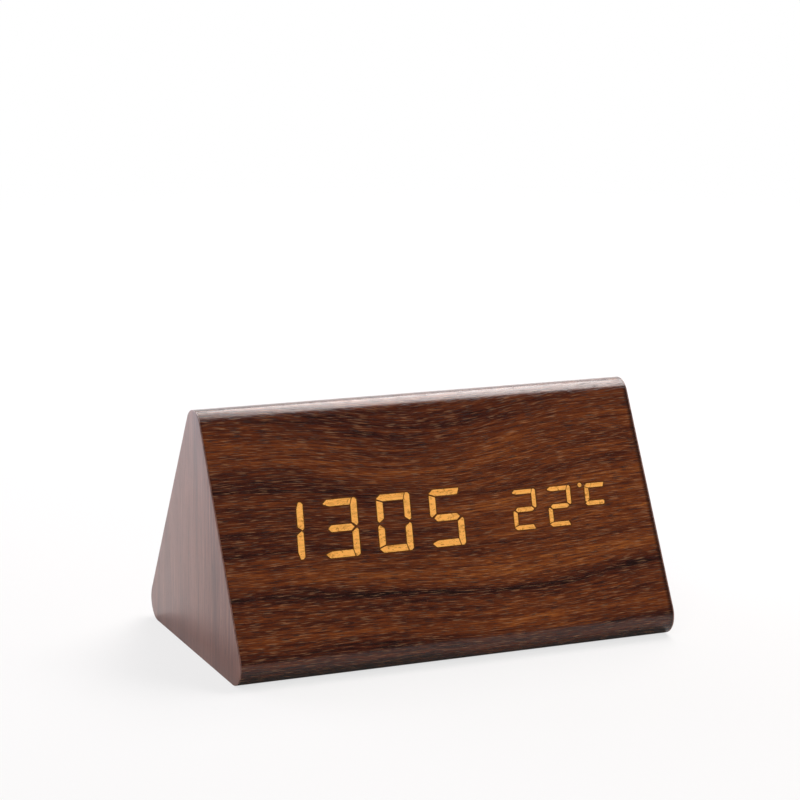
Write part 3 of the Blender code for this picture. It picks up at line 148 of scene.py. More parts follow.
def filledShape(name, outlines):
    # closed outlines filled to flat faces without cross edges, left in edit mode with all selected
    curve = bpy.data.curves.new(name, "CURVE")
    curve.dimensions = "2D"
    curve.fill_mode = "BOTH"
    for outline in outlines:
        spline = curve.splines.new("POLY")
        spline.points.add(len(outline) - 1)
        for point, (x, y) in zip(spline.points, outline):
            point.co = (x, y, 0, 1)
        spline.use_cyclic_u = True
    piece = meshFromCurve(name, curve)
    edit(piece)
    bpy.ops.mesh.select_all(action="SELECT")
    bpy.ops.mesh.dissolve_limited(angle_limit=math.radians(1))
    return piece


def handOver(piece, name, body, slotName, finishes, *replaced):
    # names the finished piece, gives it its materials and puts it on its body
    toObjectMode()
    piece.name = name
    piece.data.name = name
    if finishes:
        piece.data.materials.clear()
        for finish in finishes:
            piece.data.materials.append(finish)
    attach(piece, body)
    if replaced:
        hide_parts(*replaced)
    return piece


# colours and nodes
def linear(hexColour):
    values = []
    for i in (0, 2, 4):
        share = int(hexColour[i:i + 2], 16) / 255
        values.append(share / 12.92 if share <= 0.04045 else ((share + 0.055) / 1.055) ** 2.4)
    return (*values, 1.0)


def addNode(tree, kind, inputs=(), output=0, stops=(), **settings):
    # adds one node with its settings, its values or links by name or order, and gives back one output
    node = tree.nodes.new("ShaderNode" + kind)
    for name, value in settings.items():
        setattr(node, name, value)
    for name, value in inputs.items() if isinstance(inputs, dict) else enumerate(inputs):
        socket = node.inputs[name]
        if isinstance(value, bpy.types.NodeSocket):
            tree.links.new(value, socket)
        elif isinstance(value, str):
            socket.default_value = linear(value)
        else:
            socket.default_value = value
    for number, (position, colour) in enumerate(stops):
        elements = node.color_ramp.elements
        element = elements[number] if number < 2 else elements.new(position)
        element.position = position
        element.color = linear(colour) if isinstance(colour, str) else (colour, colour, colour, 1.0)
    return node.outputs[output]


def newMaterial(name, **plain):
    # a material with plain values on its Principled sockets, and a way to add nodes to it
    made = bpy.data.materials.new(name)
    made.use_nodes = True
    shader = made.node_tree.nodes["Principled BSDF"]
    for key, value in plain.items():
        socket = shader.inputs[key.replace("_", " ")]
        socket.default_value = linear(value) if isinstance(value, str) else value
    return made, partial(addNode, made.node_tree)


def connected(made, **outputs):
    # the material, once these outputs are linked to its Principled sockets
    shader = made.node_tree.nodes["Principled BSDF"]
    for key, output in outputs.items():
        made.node_tree.links.new(output, shader.inputs[key.replace("_", " ")])
    return made


def perFeature(x, y, z):
    # how often a feature of this size in millimetres repeats along each axis
    return (1 / (x * mm), 1 / (y * mm), 1 / (z * mm))


def grainLayers(node, place, layers):
    # noise layers by name: feature size in mm, shift, detail, roughness and distortion
    made = {}
    for name, (size, shift, detail, rough, distortion) in layers.items():
        local = node("Mapping", {"Vector": place, "Location": shift, "Scale": perFeature(*size)})
        made[name] = node("TexNoise", {
            "Vector": local, "Scale": 1.0, "Detail": detail, "Roughness": rough, "Distortion": distortion,
        }, "Fac")
    return made


# walnut
walnutLook = {
    # where the grain sags: middle and width along the case, depth, and the heights it grows between, in mm
    "sags": ((20.0, 45.0, 5.0, -2.0, -1.0), (-6.0, 34.0, 10.0, 38.0, 66.0)),
    "waves": (5.0, 0.9),        # how far the slow and the fine wave push the grain, in mm
    "waveLayers": {
        "slow": ((70, 20, 40), (0, 0, 0), 1.0, 0.5, 0.0),
        "fine": ((16, 3.5, 20), (0, 0, 0), 2.0, 0.5, 0.0),
        "cloud": ((40, 12, 40), (3.1, 0, 0), 2.0, 0.5, 0.0),
    },
    "streakLayers": {
        "broad": ((42, 1.9, 30), (0, 5.3, 0), 3.0, 0.6, 0.3),
        "thin": ((11, 0.6, 20), (1.7, 0, 0), 3.0, 0.75, 0.0),
        "pore": ((4.4, 0.32, 10), (0, 0, 0), 1.0, 0.5, 0.0),
        "paintedGlint": ((5.2, 0.32, 10), (7.7, 2.1, 0), 1.0, 0.5, 0.0),
    },
    # bands placed along the grain's height in mm, from dark 0 to light 1
    # The dark stops up to 6 mm lie under the bottom round: painted shade. The lighter stop at 9 mm, on the
    # round, is partly grain and partly a painted sheen.
    "leftBands": (
        (0, 0.0), (3, 0.0), (6, 0.12), (9, 0.34), (11.5, 0.24), (14, 0.36), (17, 0.56), (20, 0.40),
        (22, 0.48), (25, 0.36), (27.3, 0.30), (28.3, 0.04), (29.5, 0.28), (31, 0.42), (34, 0.62),
        (37, 0.52), (41, 0.42), (43, 0.20), (45, 0.38), (50, 0.34), (56, 0.42), (60, 0.42), (63, 0.26),
        (66, 0.24), (69, 0.36), (73, 0.52), (78, 0.54), (83, 0.40), (88, 0.28), (96, 0.30), (100, 0.35),
    ),
    "rightBands": (
        (0, 0.0), (3, 0.0), (6, 0.14), (9, 0.36), (11.5, 0.26), (14, 0.50), (18, 0.64), (21, 0.44),
        (24, 0.54), (26.5, 0.38), (28.5, 0.12), (30, 0.38), (33, 0.62), (37, 0.68), (40, 0.48),
        (44, 0.48), (48, 0.64), (52, 0.54), (57, 0.60), (60, 0.68), (63, 0.50), (65.5, 0.40), (69, 0.52), (75, 0.50), (80, 0.56),
        (85, 0.44), (92, 0.34), (100, 0.35),
    ),
    "tones": (
        (0.0, "1c0602"), (1.0, "b07038"), (0.2, "381207"), (0.4, "52230c"), (0.6, "6e3513"), (0.8, "8c4d1e"),
    ),
    "bandSpan": 100.0,
    # where the right bands take over: mm along the case, what the clouds add, and the range read off
    "toRight": (60.0, 1.6, 0.55, 1.25),
    "streaks": (("broad", 0.8), ("thin", 1.15)),
    # the noise between which a dash appears, its strength and its colour
    # the pale dashes are painted highlights, the dark ones pores
    "dashes": {"pore": (0.55, 0.66, 0.75, "200a04"), "paintedGlint": (0.57, 0.68, 0.28, "c4936a")},
    "glowColour": "55300a",
    "rightEdgeShade": (73.0, 74.1, 0.0, 0.8),      # painted shade: the wrap's right end darkens over this stretch in mm
    "rightEdgeShadeColour": "200a04",
}


def walnutLaminate(name, onWrap):
    # Walnut laminate: a printed and embossed melamine sheet. It gives dark red-brown bands along the
    # length, fine streaks, open pores as short dashes pressed 0.05 mm deep, and a low satin sheen.
    made, node = newMaterial(name, IOR=1.5, Specular_IOR_Level=0.45)
    if onWrap:
        place = node("Attribute", (), "Vector", attribute_name="grain")
    else:
        place = node("TexCoord", (), "Object")
    split = node("VectorMath", {0: place, "Scale": 1 / mm}, operation="SCALE")
    along = node("SeparateXYZ", (split,), "X")
    height = node("SeparateXYZ", (split,), "Y")
    layer = grainLayers(node, place, walnutLook["waveLayers"])

    # the figure: bands that sag near the middle and wander, and streaks and pores that half follow them
    level = height
    for middle, width, depth, low, high in walnutLook["sags"]:
        away = node("Math", (node("Math", (along, -middle), operation="ADD"), width), operation="DIVIDE")
        away = node("Math", (node("Math", (away, away), operation="MULTIPLY"), -1.0), operation="MULTIPLY")
        sag = node("Math", (away,), operation="EXPONENT")
        grown = node("MapRange", (height, low, high, 0.0, depth), clamp=True)
        level = node("Math", (sag, grown, level), operation="MULTIPLY_ADD")
    for key, reach in zip(("slow", "fine"), walnutLook["waves"]):
        level = node("Math", (layer[key], reach, level), operation="MULTIPLY_ADD")
    level = node("Math", (level, -sum(walnutLook["waves"]) / 2), operation="ADD")
    halfway = node("Mix", {0: 0.5, 2: height, 3: level})
    flow = node("VectorMath", {0: node("CombineXYZ", (along, halfway)), "Scale": mm}, operation="SCALE")
    layer.update(grainLayers(node, flow, walnutLook["streakLayers"]))
    span = walnutLook["bandSpan"]
    level = node("Math", (level, span), operation="DIVIDE")
    level = node("Math", (level, 1.0), operation="PINGPONG")
    bands = []
    for key in ("leftBands", "rightBands"):
        stops = [(position / span, tone) for position, tone in walnutLook[key]]
        stops = [stops[0], stops[-1], *stops[1:-1]]
        bands.append(node("ValToRGB", (level,), stops=stops))
    reach, cloudy, low, high = walnutLook["toRight"]
    side = node("Math", (along, reach), operation="DIVIDE")
    side = node("Math", (layer["cloud"], cloudy, side), operation="MULTIPLY_ADD")
    side = node("MapRange", (side, low, high), clamp=True)
    tone = node("Mix", {0: side, 6: bands[0], 7: bands[1]}, 2, data_type="RGBA")

    # streaks, broad and thin
    for key, strength in walnutLook["streaks"]:
        streak = node("Math", (layer[key], strength, -strength / 2), operation="MULTIPLY_ADD")
        tone = node("Math", (tone, streak), operation="ADD", use_clamp=True)
    colour = node("ValToRGB", (tone,), stops=walnutLook["tones"])

    # pores as dark dashes about 0.3 mm by 4 mm, and pale dashes, painted highlights where the pressed edges
    # catch the light
    masks = {}
    for key, (low, high, strength, tint) in walnutLook["dashes"].items():
        masks[key] = node("MapRange", (layer[key], low, high), clamp=True)
        share = node("Math", (masks[key], strength), operation="MULTIPLY")
        colour = node("Mix", {0: share, 6: colour, 7: tint}, 2, data_type="RGBA")
    if onWrap:
        # painted shade along the wrap's right end
        rightEdgeShade = node("MapRange", (along, *walnutLook["rightEdgeShade"]), clamp=True)
        colour = node("Mix", {0: rightEdgeShade, 6: colour, 7: walnutLook["rightEdgeShadeColour"]}, 2, data_type="RGBA")
        glow = node("Attribute", (), "Fac", attribute_name="glow")
        colour = node("Mix", {0: glow, 6: colour, 7: walnutLook["glowColour"]}, 2, data_type="RGBA")
    rough = node("Math", (masks["pore"], 0.15, 0.15), operation="MULTIPLY_ADD")
    rough = node("Math", (layer["thin"], 0.12, rough), operation="MULTIPLY_ADD")
    relief = node("Math", (layer["thin"], 0.35), operation="MULTIPLY")
    relief = node("Math", (relief, masks["pore"]), operation="SUBTRACT")
    lifted = node("Bump", {"Height": relief, "Strength": 0.3, "Distance": 0.05 * mm})
    return connected(made, Base_Color=colour, Roughness=rough, Normal=lifted)


endLook = {
    "layers": {
        "drift": ((20, 6, 60), (0, 0, 0), 2.0, 0.5, 0.0),
        "streak": ((20, 0.9, 40), (0, 2.2, 0), 3.0, 0.6, 0.2),
        "thin": ((20, 0.45, 12), (0, 7.9, 1.0), 2.0, 0.6, 0.0),
        "pore": ((10, 0.3, 3.2), (0, 0, 0), 1.0, 0.5, 0.0),
    },
    # walnut tones lightened towards mauve: partly the end's colour, partly a painted sheen
    "tones": ((0.3, "341c17"), (0.8, "9a705e"), (0.5, "543229"), (0.64, "785043")),
    "poreColour": "2a1612",
}


def endLaminate():
    # Walnut laminate on the flat ends, pressed smoother than the wrap: upright streaks, and a sheen
    # that turns it mauve-grey where it is seen at a low angle. Its tones are walnut lightened towards mauve,
    # partly a painted sheen.
    made, node = newMaterial("end laminate", IOR=1.7)
    place = node("TexCoord", (), "Object")
    layer = grainLayers(node, place, endLook["layers"])
    tone = node("Math", (layer["drift"], 0.3, 0.12), operation="MULTIPLY_ADD")
    for key, strength in (("streak", 0.42), ("thin", 0.24)):
        tone = node("Math", (layer[key], strength, tone), operation="MULTIPLY_ADD")
    colour = node("ValToRGB", (tone,), stops=endLook["tones"])
    pore = node("MapRange", (layer["pore"], 0.6, 0.72), clamp=True)
    share = node("Math", (pore, 0.5), operation="MULTIPLY")
    colour = node("Mix", {0: share, 6: colour, 7: endLook["poreColour"]}, 2, data_type="RGBA")
    rough = node("Math", (layer["streak"], 0.10, 0.27), operation="MULTIPLY_ADD")
    relief = node("Math", (layer["thin"], 0.5), operation="MULTIPLY")
    relief = node("Math", (relief, pore), operation="SUBTRACT")
    lifted = node("Bump", {"Height": relief, "Strength": 0.5, "Distance": 0.02 * mm})
    return connected(made, Base_Color=colour, Roughness=rough, Normal=lifted)


# light seen through the laminate
amberLook = {
    "light": "a86c1a",      # the part that shines, the same all over
    "core": "b58133",       # painted light: more of the segment's glow, put in the surface colour at the middle of a segment and at its rim
    "rim": "c8954f",
    "smudge": "3a2210",
    "layers": {
        "streak": ((3.5, 0.35, 10), (0, 0, 0), 2.0, 0.6, 0.5),
        "patch": ((1.3, 0.8, 1.0), (5, 0, 0), 2.0, 0.6, 1.0),
    },
}


def amberLight():
    # Amber light-emitting diodes behind a frosted film, shining through thin veneer: an even amber,
    # paler at the rims, with faint grain and smudges of the wood in front of it.
    made, node = newMaterial(
        "amber light", Roughness=0.55, Emission_Color=amberLook["light"], Emission_Strength=1.0,
    )
    place = node("TexCoord", (), "Object")
    layer = grainLayers(node, place, amberLook["layers"])
    rim = node("Attribute", (), "Fac", attribute_name="rim")
    # the base colour paints in more of the segments' light, paler at the rim: painted light
    colour = node("Mix", {0: rim, 6: amberLook["core"], 7: amberLook["rim"]}, 2, data_type="RGBA")
    for key, low, high, strength in (("streak", 0.48, 0.72, 0.6), ("patch", 0.55, 0.68, 1.0)):
        mask = node("MapRange", (layer[key], low, high, 0.0, strength), clamp=True)
        colour = node("Mix", {0: mask, 6: colour, 7: amberLook["smudge"]}, 2, data_type="RGBA")
    return connected(made, Base_Color=colour)


walnutWrap = walnutLaminate("walnut laminate", True)
walnutSheet = walnutLaminate("walnut laminate sheet", False)
endWalnut = endLaminate()
amber = amberLight()
print("walnut and amber made")


# plastics, metals and boards
plasticLook = {
    # name: colour, darker patches, roughness, texture size in mm, texture depth in mm
    "black moulded ABS": ("131314", "0b0b0c", 0.42, 0.5, 0.10),
    "button ABS": ("1d1d1f", "151517", 0.36, 0.5, 0.008),
    "inlet nylon": ("161617", "0e0e0f", 0.42, 0.6, 0.008),
    "plunger acetal": ("a39c90", "8f887c", 0.45, 0.8, 0.005),
    "white reflector ABS": ("e2e1dc", "d2d0c8", 0.35, 1.2, 0.006),
    "frosted film": ("e9ddc2", "dccfb0", 0.5, 0.25, 0.01),
    "moulded epoxy": ("1a1a1a", "101010", 0.6, 0.2, 0.01),
    "red lead sleeve": ("a81a17", "8b1210", 0.45, 1.5, 0.01),
    "black lead sleeve": ("191919", "0f0f0f", 0.45, 1.5, 0.01),
    "grey ribbon": ("a9a9ab", "8d8d90", 0.5, 1.27, 0.02),
}


def mouldedPlastic(name):
    # Injection-moulded plastic: an even colour with faint flow patches, and the fine pits that the
    # spark-eroded mould leaves, which break up its shine.
    tint, patchTint, roughness, grit, depth = plasticLook[name]
    made, node = newMaterial(name, IOR=1.5, Specular_IOR_Level=0.35)
    place = node("TexCoord", (), "Object")
    layer = grainLayers(node, place, {
        "flow": ((14, 14, 14), (0, 0, 0), 2.0, 0.5, 0.5),
        "pits": ((grit, grit, grit), (3, 1, 2), 2.0, 0.6, 0.0),
        "rubbed": ((5, 5, 5), (1, 4, 0), 3.0, 0.6, 0.0),
    })
    colour = node("Mix", {0: layer["flow"], 6: tint, 7: patchTint}, 2, data_type="RGBA")
    rough = node("Math", (layer["rubbed"], 0.2, roughness - 0.1), operation="MULTIPLY_ADD")
    lifted = node("Bump", {"Height": layer["pits"], "Strength": 0.6, "Distance": depth * mm})
    return connected(made, Base_Color=colour, Roughness=rough, Normal=lifted)


metalLook = {
    # name: colour, tarnish, roughness, length and width of the drawing lines in mm
    "zinc plated steel": ("a9abab", "76797a", 0.3, 2.0, 0.15),
    "nickel plated steel": ("d2cec4", "a8a49a", 0.22, 3.0, 0.12),
    "turned brass": ("dcb768", "a9853f", 0.25, 0.15, 2.0),
}


def platedMetal(name):
    # Plated or turned metal: bright, with fine lines from drawing or turning and dull spots.
    tint, dull, roughness, length, width = metalLook[name]
    made, node = newMaterial(name, Metallic=1.0)
    place = node("TexCoord", (), "Object")
    layer = grainLayers(node, place, {
        "lines": ((length, width, width), (0, 0, 0), 2.0, 0.6, 0.0),
        "spots": ((1.6, 1.6, 1.6), (2, 2, 0), 3.0, 0.65, 0.0),
    })
    colour = node("Mix", {0: layer["spots"], 6: tint, 7: dull}, 2, data_type="RGBA")
    # a screw's recess foot is painted dark: painted shade, with dull plating
    recessShade = node("Attribute", (), "Fac", attribute_name="recessShade")
    colour = node("Mix", {0: recessShade, 6: colour, 7: "1c1c1b"}, 2, data_type="RGBA")
    rough = node("Math", (layer["lines"], 0.25, roughness - 0.1), operation="MULTIPLY_ADD")
    lifted = node("Bump", {"Height": layer["lines"], "Strength": 0.3, "Distance": 0.005 * mm})
    return connected(made, Base_Color=colour, Roughness=rough, Normal=lifted)


def fibreboardRaw():
    # Medium-density fibreboard, sawn: pale brown felted fibres, lighter and darker specks, matt.
    made, node = newMaterial("raw fibreboard", Roughness=0.85, Specular_IOR_Level=0.2)
    place = node("TexCoord", (), "Object")
    layer = grainLayers(node, place, {
        "felt": ((1.2, 0.25, 0.25), (0, 0, 0), 4.0, 0.7, 1.0),
        "specks": ((0.6, 0.6, 0.6), (4, 2, 1), 2.0, 0.5, 0.0),
    })
    colour = node("ValToRGB", (layer["felt"],), stops=((0.3, "7c5c3c"), (0.7, "b08c62")))
    speck = node("MapRange", (layer["specks"], 0.62, 0.72), clamp=True)
    colour = node("Mix", {0: speck, 6: colour, 7: "5a3f27"}, 2, data_type="RGBA")
    lifted = node("Bump", {"Height": layer["felt"], "Strength": 0.6, "Distance": 0.05 * mm})
    return connected(made, Base_Color=colour, Normal=lifted)


def circuitBoardGreen():
    # Glass-fibre circuit board under green solder resist: tracks show as paler raised lines.
    made, node = newMaterial("circuit board", Roughness=0.35)
    place = node("TexCoord", (), "Object")
    local = node("Mapping", {"Vector": place, "Scale": perFeature(3, 3, 3)})
    cells = node("TexVoronoi", {"Vector": local, "Scale": 1.0, "Randomness": 0.4}, feature="DISTANCE_TO_EDGE")
    track = node("MapRange", (cells, 0.06, 0.09, 1.0, 0.0), clamp=True)
    weave = grainLayers(node, place, {"weave": ((0.4, 0.4, 0.4), (0, 0, 0), 1.0, 0.5, 0.0)})["weave"]
    colour = node("Mix", {0: weave, 6: "0f4a28", 7: "15582f"}, 2, data_type="RGBA")
    colour = node("Mix", {0: track, 6: colour, 7: "2a7a45"}, 2, data_type="RGBA")
    lifted = node("Bump", {"Height": track, "Strength": 0.5, "Distance": 0.03 * mm})
    return connected(made, Base_Color=colour, Normal=lifted)


def cellJacket():
    # Shrunk plastic jacket of a dry cell: a dark blue body and a silver band at the positive end,
    # glossy, with faint scuffs. It carries no words.
    made, node = newMaterial("cell jacket", Roughness=0.25, IOR=1.5)
    band = node("Attribute", (), "Fac", attribute_name="band")
    place = node("TexCoord", (), "Object")
    layer = grainLayers(node, place, {
        "scuff": ((6, 0.3, 0.3), (0, 0, 0), 3.0, 0.6, 0.0),
        "soft": ((9, 9, 9), (1, 0, 0), 1.0, 0.5, 0.0),
    })
    edge = node("MapRange", (band, 0.70, 0.715), clamp=True)
    body = node("Mix", {0: layer["soft"], 6: "2f4668", 7: "3a5478"}, 2, data_type="RGBA")
    colour = node("Mix", {0: edge, 6: body, 7: "b9bcc0"}, 2, data_type="RGBA")
    shine = node("Math", (edge, 0.6), operation="MULTIPLY")
    rough = node("Math", (layer["scuff"], 0.3, 0.12), operation="MULTIPLY_ADD")
    return connected(made, Base_Color=colour, Metallic=shine, Roughness=rough)


plastics = {name: mouldedPlastic(name) for name in plasticLook}
metals = {name: platedMetal(name) for name in metalLook}
fibreboard = fibreboardRaw()
circuitBoard = circuitBoardGreen()
jacket = cellJacket()
print("plastics, metals and boards made")


# camera, lamps, world and floor
cameraLook = {
    "place": (-0.333676, -0.737867, 0.251510),
    "target": (-0.004786, 0.0, 0.076213),
    "roll": 0.84,
    "lens": 115.855,
}
lampLook = {
    # name: place, aim, size, watts, colour
    "keyLamp": ((-0.75, -0.85, 1.15), (0, 0, 0.04), (0.7, 0.7), 7.6, "fff7ef"),
    "fillLamp": ((1.3, -0.5, 0.25), (0, 0, 0.04), (0.7, 0.5), 2.5, "f4f6ff"),
    "topPanel": ((0.5, 0.37, 1.0), (0.5, 0.37, 0), (0.45, 1.15), 17.0, "fff7f5"),
    "backPanel": ((0.35, 1.3, 0.55), (0, 0, 0.06), (1.6, 0.9), 3.6, "fbf6fa"),
    "sidePanel": ((-0.75, 1.0, 0.3), (0, 0, 0.05), (0.9, 0.7), 9.6, "f3efff"),
}
studioLook = {
    "frontStrength": 0.14,
    "backStrength": 0.7,
    "floorColour": "d6d6d6",
    "floorReach": (0.5, 1.1),       # metres from the clock between which the floor whitens
    "floorWhite": (0.72, 1.0),      # how white the floor is for the camera: near the clock, and far from it
    "floorShine": (0.0, 1.0),       # the same in reflections, which keep the clock's own shadow
}


def makeCamera():
    data = bpy.data.cameras.new("camera")
    camera = bpy.data.objects.new("camera", data)
    scene.collection.objects.link(camera)
    place = Vector(cameraLook["place"])
    ahead = Vector(cameraLook["target"]) - place
    turn = ahead.to_track_quat("-Z", "Y").to_matrix().to_4x4()
    roll = Matrix.Rotation(math.radians(cameraLook["roll"]), 4, "Z")
    camera.matrix_world = Matrix.Translation(place) @ turn @ roll
    data.lens = cameraLook["lens"]
    data.sensor_width = 36
    data.clip_start = 0.01
    data.clip_end = 20
    scene.camera = camera


def makeLamps():
    for name, (place, aim, size, watts, colour) in lampLook.items():
        data = bpy.data.lights.new(name, "AREA")
        data.shape = "RECTANGLE"
        data.size, data.size_y = size
        data.energy = watts
        data.color = linear(colour)[:3]
        lamp = bpy.data.objects.new(name, data)
        scene.collection.objects.link(lamp)
        lamp.location = place
        lamp.rotation_euler = (Vector(aim) - Vector(place)).to_track_quat("-Z", "Y").to_euler()
        lamp.visible_camera = False


def whiteShare(node, camera, shine):
    # how white a backdrop is: one share for the camera's rays, one for reflections and through glass
    seen = node("Math", (node("LightPath", (), "Is Camera Ray"), camera), operation="MULTIPLY")
    glossy = node("LightPath", (), "Is Glossy Ray")
    through = node("LightPath", (), "Is Transmission Ray")
    bounced = node("Math", (glossy, through), operation="MAXIMUM")
    bounced = node("Math", (bounced, shine), operation="MULTIPLY")
    return node("Math", (seen, bounced), operation="MAXIMUM")


def makeWorld():
    # brighter behind the clock than in front of it, and white for the camera and, behind, in reflections
    world = bpy.data.worlds.new("studio")
    scene.world = world
    world.use_nodes = True
    world.node_tree.nodes.clear()
    node = partial(addNode, world.node_tree)
    toBack = node("SeparateXYZ", (node("TexCoord", (), "Generated"),), "Y")
    behind = node("MapRange", (toBack, -0.3, 0.8), clamp=True)
    strength = node("MapRange", (behind, 0.0, 1.0, studioLook["frontStrength"], studioLook["backStrength"]))
    dim = node("Background", {"Color": "f4f3f6", "Strength": strength})
    white = node("Background", {"Color": "ffffff", "Strength": 1.0})
    mixed = node("MixShader", (whiteShare(node, 1.0, behind), dim, white))
    world.node_tree.nodes.new("ShaderNodeOutputWorld")
    world.node_tree.links.new(mixed, world.node_tree.nodes["World Output"].inputs[0])


def makeFloor():
    clearSelection()
    bpy.ops.mesh.primitive_plane_add(size=8, location=(0, 1.0, 0))
    floor = bpy.context.object
    floor.name = "floor"
    applyPlace(floor)
    made, node = newMaterial(
        "white floor", Base_Color=studioLook["floorColour"], Roughness=0.8, Specular_IOR_Level=0.0,
    )
    tree = made.node_tree
    away = node("VectorMath", (node("TexCoord", (), "Object"),), "Value", operation="LENGTH")
    seen = node("MapRange", (away, *studioLook["floorReach"], *studioLook["floorWhite"]), clamp=True)
    shine = node("MapRange", (away, *studioLook["floorReach"], *studioLook["floorShine"]), clamp=True)
    white = node("Emission", {"Color": "ffffff", "Strength": 1.0})
    lit = tree.nodes["Principled BSDF"].outputs[0]
    mixed = node("MixShader", (whiteShare(node, seen, shine), lit, white))
    tree.links.new(mixed, tree.nodes["Material Output"].inputs[0])
    floor.data.materials.append(made)


scene.view_settings.view_transform = "Standard"
makeCamera()
makeLamps()
makeWorld()
makeFloor()
print("camera, lamps and floor made")


# case
caseSize = {
    "depth": 93.4 * mm,
    "height": 85.3 * mm,
    "corner": 6.6 * mm,
    "laminate": 0.5 * mm,
    "lip": 8.0 * mm,
    "length": 150.0 * mm,
    "cornerSteps": 36,
    "endEdge": 0.13 * mm,
    "opening": (120.6 * mm, 52.6 * mm, 4.0 * mm),
    "openingCorner": 4.3 * mm,
}
halfDepth = caseSize["depth"] / 2
slant = math.hypot(halfDepth, caseSize["height"])
baseAngle = math.atan2(caseSize["height"], halfDepth)
apexAngle = math.pi - 2 * baseAngle
cornerReach = caseSize["corner"] / math.tan(baseAngle / 2)
apexReach = caseSize["corner"] / math.tan(apexAngle / 2)
flatLength = slant - cornerReach - apexReach
frontCentre = Vector((0, -halfDepth + cornerReach, caseSize["corner"]))
apexCentre = Vector((0, 0, caseSize["height"] - caseSize["corner"] / math.sin(apexAngle / 2)))
rearCentre = Vector((0, halfDepth - cornerReach, caseSize["corner"]))
upFront = Vector((0, math.cos(baseAngle), math.sin(baseAngle)))
downRear = Vector((0, math.cos(baseAngle), -math.sin(baseAngle)))
frontOut = Vector((0, -math.sin(baseAngle), math.cos(baseAngle)))
rearOut = Vector((0, math.sin(baseAngle), math.cos(baseAngle)))
innerEnd = caseSize["length"] / 2 - caseSize["laminate"]
tilt = Matrix.Rotation(baseAngle, 4, "X")
about = Matrix.Rotation(math.pi, 4, "Z")
frontPlace = Matrix.Translation((0, -halfDepth / 2, caseSize["height"] / 2)) @ tilt
rearPlace = Matrix.Translation((0, halfDepth / 2, caseSize["height"] / 2)) @ about @ tilt


def grainHeight(point):
    # how far round the section a point lies, 0 at the sharp front edge and upwards on the front
    y, z = point.y, point.z
    onFront = (y + halfDepth) * upFront.y + z * upFront.z
    if z < caseSize["corner"] and y < frontCentre.y and onFront < cornerReach:
        heading = math.atan2(z - frontCentre.z, y - frontCentre.y) % math.tau
        return cornerReach - (heading - (math.pi / 2 + baseAngle)) * caseSize["corner"]
    if y <= 0 and z > mm and onFront <= slant - apexReach:
        return onFront
    pastTop = (y - apexCentre.y) * downRear.y + (z - apexCentre.z) * downRear.z
    if z > apexCentre.z and onFront > slant - apexReach and pastTop < 0:
        heading = math.atan2(z - apexCentre.z, y)
        return slant - apexReach + (math.pi / 2 + baseAngle - heading) * caseSize["corner"]
    topEnd = slant - apexReach + 2 * baseAngle * caseSize["corner"]
    if z < mm and y <= rearCentre.y:
        if y < 0:
            return cornerReach - (math.pi - baseAngle) * caseSize["corner"] - (y - frontCentre.y)
        return topEnd + flatLength + (math.pi - baseAngle) * caseSize["corner"] + (rearCentre.y - y)
    onRear = max(slant - (halfDepth - y) * downRear.y + z * downRear.z, apexReach)
    if z < caseSize["corner"] and y > rearCentre.y and onRear > slant - cornerReach:
        heading = math.atan2(z - rearCentre.z, y - rearCentre.y)
        return topEnd + flatLength + (math.pi / 2 - baseAngle - heading) * caseSize["corner"]
    return topEnd + onRear - apexReach


def wrapSheet():
    # one thin strip from lip to lip: a plane, spun round each corner and extruded along each face
    lip = caseSize["lip"]
    bpy.ops.mesh.primitive_plane_add(size=1, location=(0, frontCentre.y + lip / 2, 0))
    piece = bpy.context.object
    piece.scale = (2 * innerEnd, lip, 1)
    applyPlace(piece)
    edit(piece, "EDGE")
    pick(piece, "edges", lambda middle, edge: middle.y < frontCentre.y + 0.1 * mm)
    turn = math.pi - baseAngle
    steps = caseSize["cornerSteps"]
    bpy.ops.mesh.spin(steps=steps, angle=turn, center=frontCentre, axis=(1, 0, 0))
    drawOut(upFront * flatLength)
    bpy.ops.mesh.spin(steps=steps, angle=2 * baseAngle, center=apexCentre, axis=(1, 0, 0))
    drawOut(downRear * flatLength)
    bpy.ops.mesh.spin(steps=steps, angle=turn, center=rearCentre, axis=(1, 0, 0))
    drawOut((0, -lip, 0))
    closeUp(piece)
    return piece


def endFace(sheet, side):
    # the sheet's own end outline, filled, drawn out to the laminate's thickness and softly rounded
    makeActive(sheet)
    bpy.ops.object.duplicate()
    piece = bpy.context.object
    edit(piece, "EDGE")
    pick(piece, "edges", lambda middle, edge: side * middle.x > innerEnd - 0.1 * mm)
    bpy.ops.mesh.select_all(action="INVERT")
    bpy.ops.mesh.delete(type="EDGE")
    bpy.ops.mesh.select_all(action="SELECT")
    bpy.ops.mesh.edge_face_add()
    drawOut((side * caseSize["laminate"], 0, 0))
    closeUp(piece)
    softenEdges(piece, caseSize["endEdge"], 3, 60)
    shadeByAngle(piece, 40)
    return piece


def rearOpening():
    # the block that cuts the opening for the rear moulding
    bpy.ops.mesh.primitive_cube_add(size=1)
    block = bpy.context.object
    block.scale = caseSize["opening"]
    applyPlace(block)
    edit(block, "EDGE")
    pick(block, "edges", lambda middle, edge: abs(middle.z) < 0.1 * mm)
    bpy.ops.mesh.bevel(offset=caseSize["openingCorner"], segments=10, affect="EDGES")
    toObjectMode()
    block.matrix_world = rearPlace
    applyPlace(block)
    return block


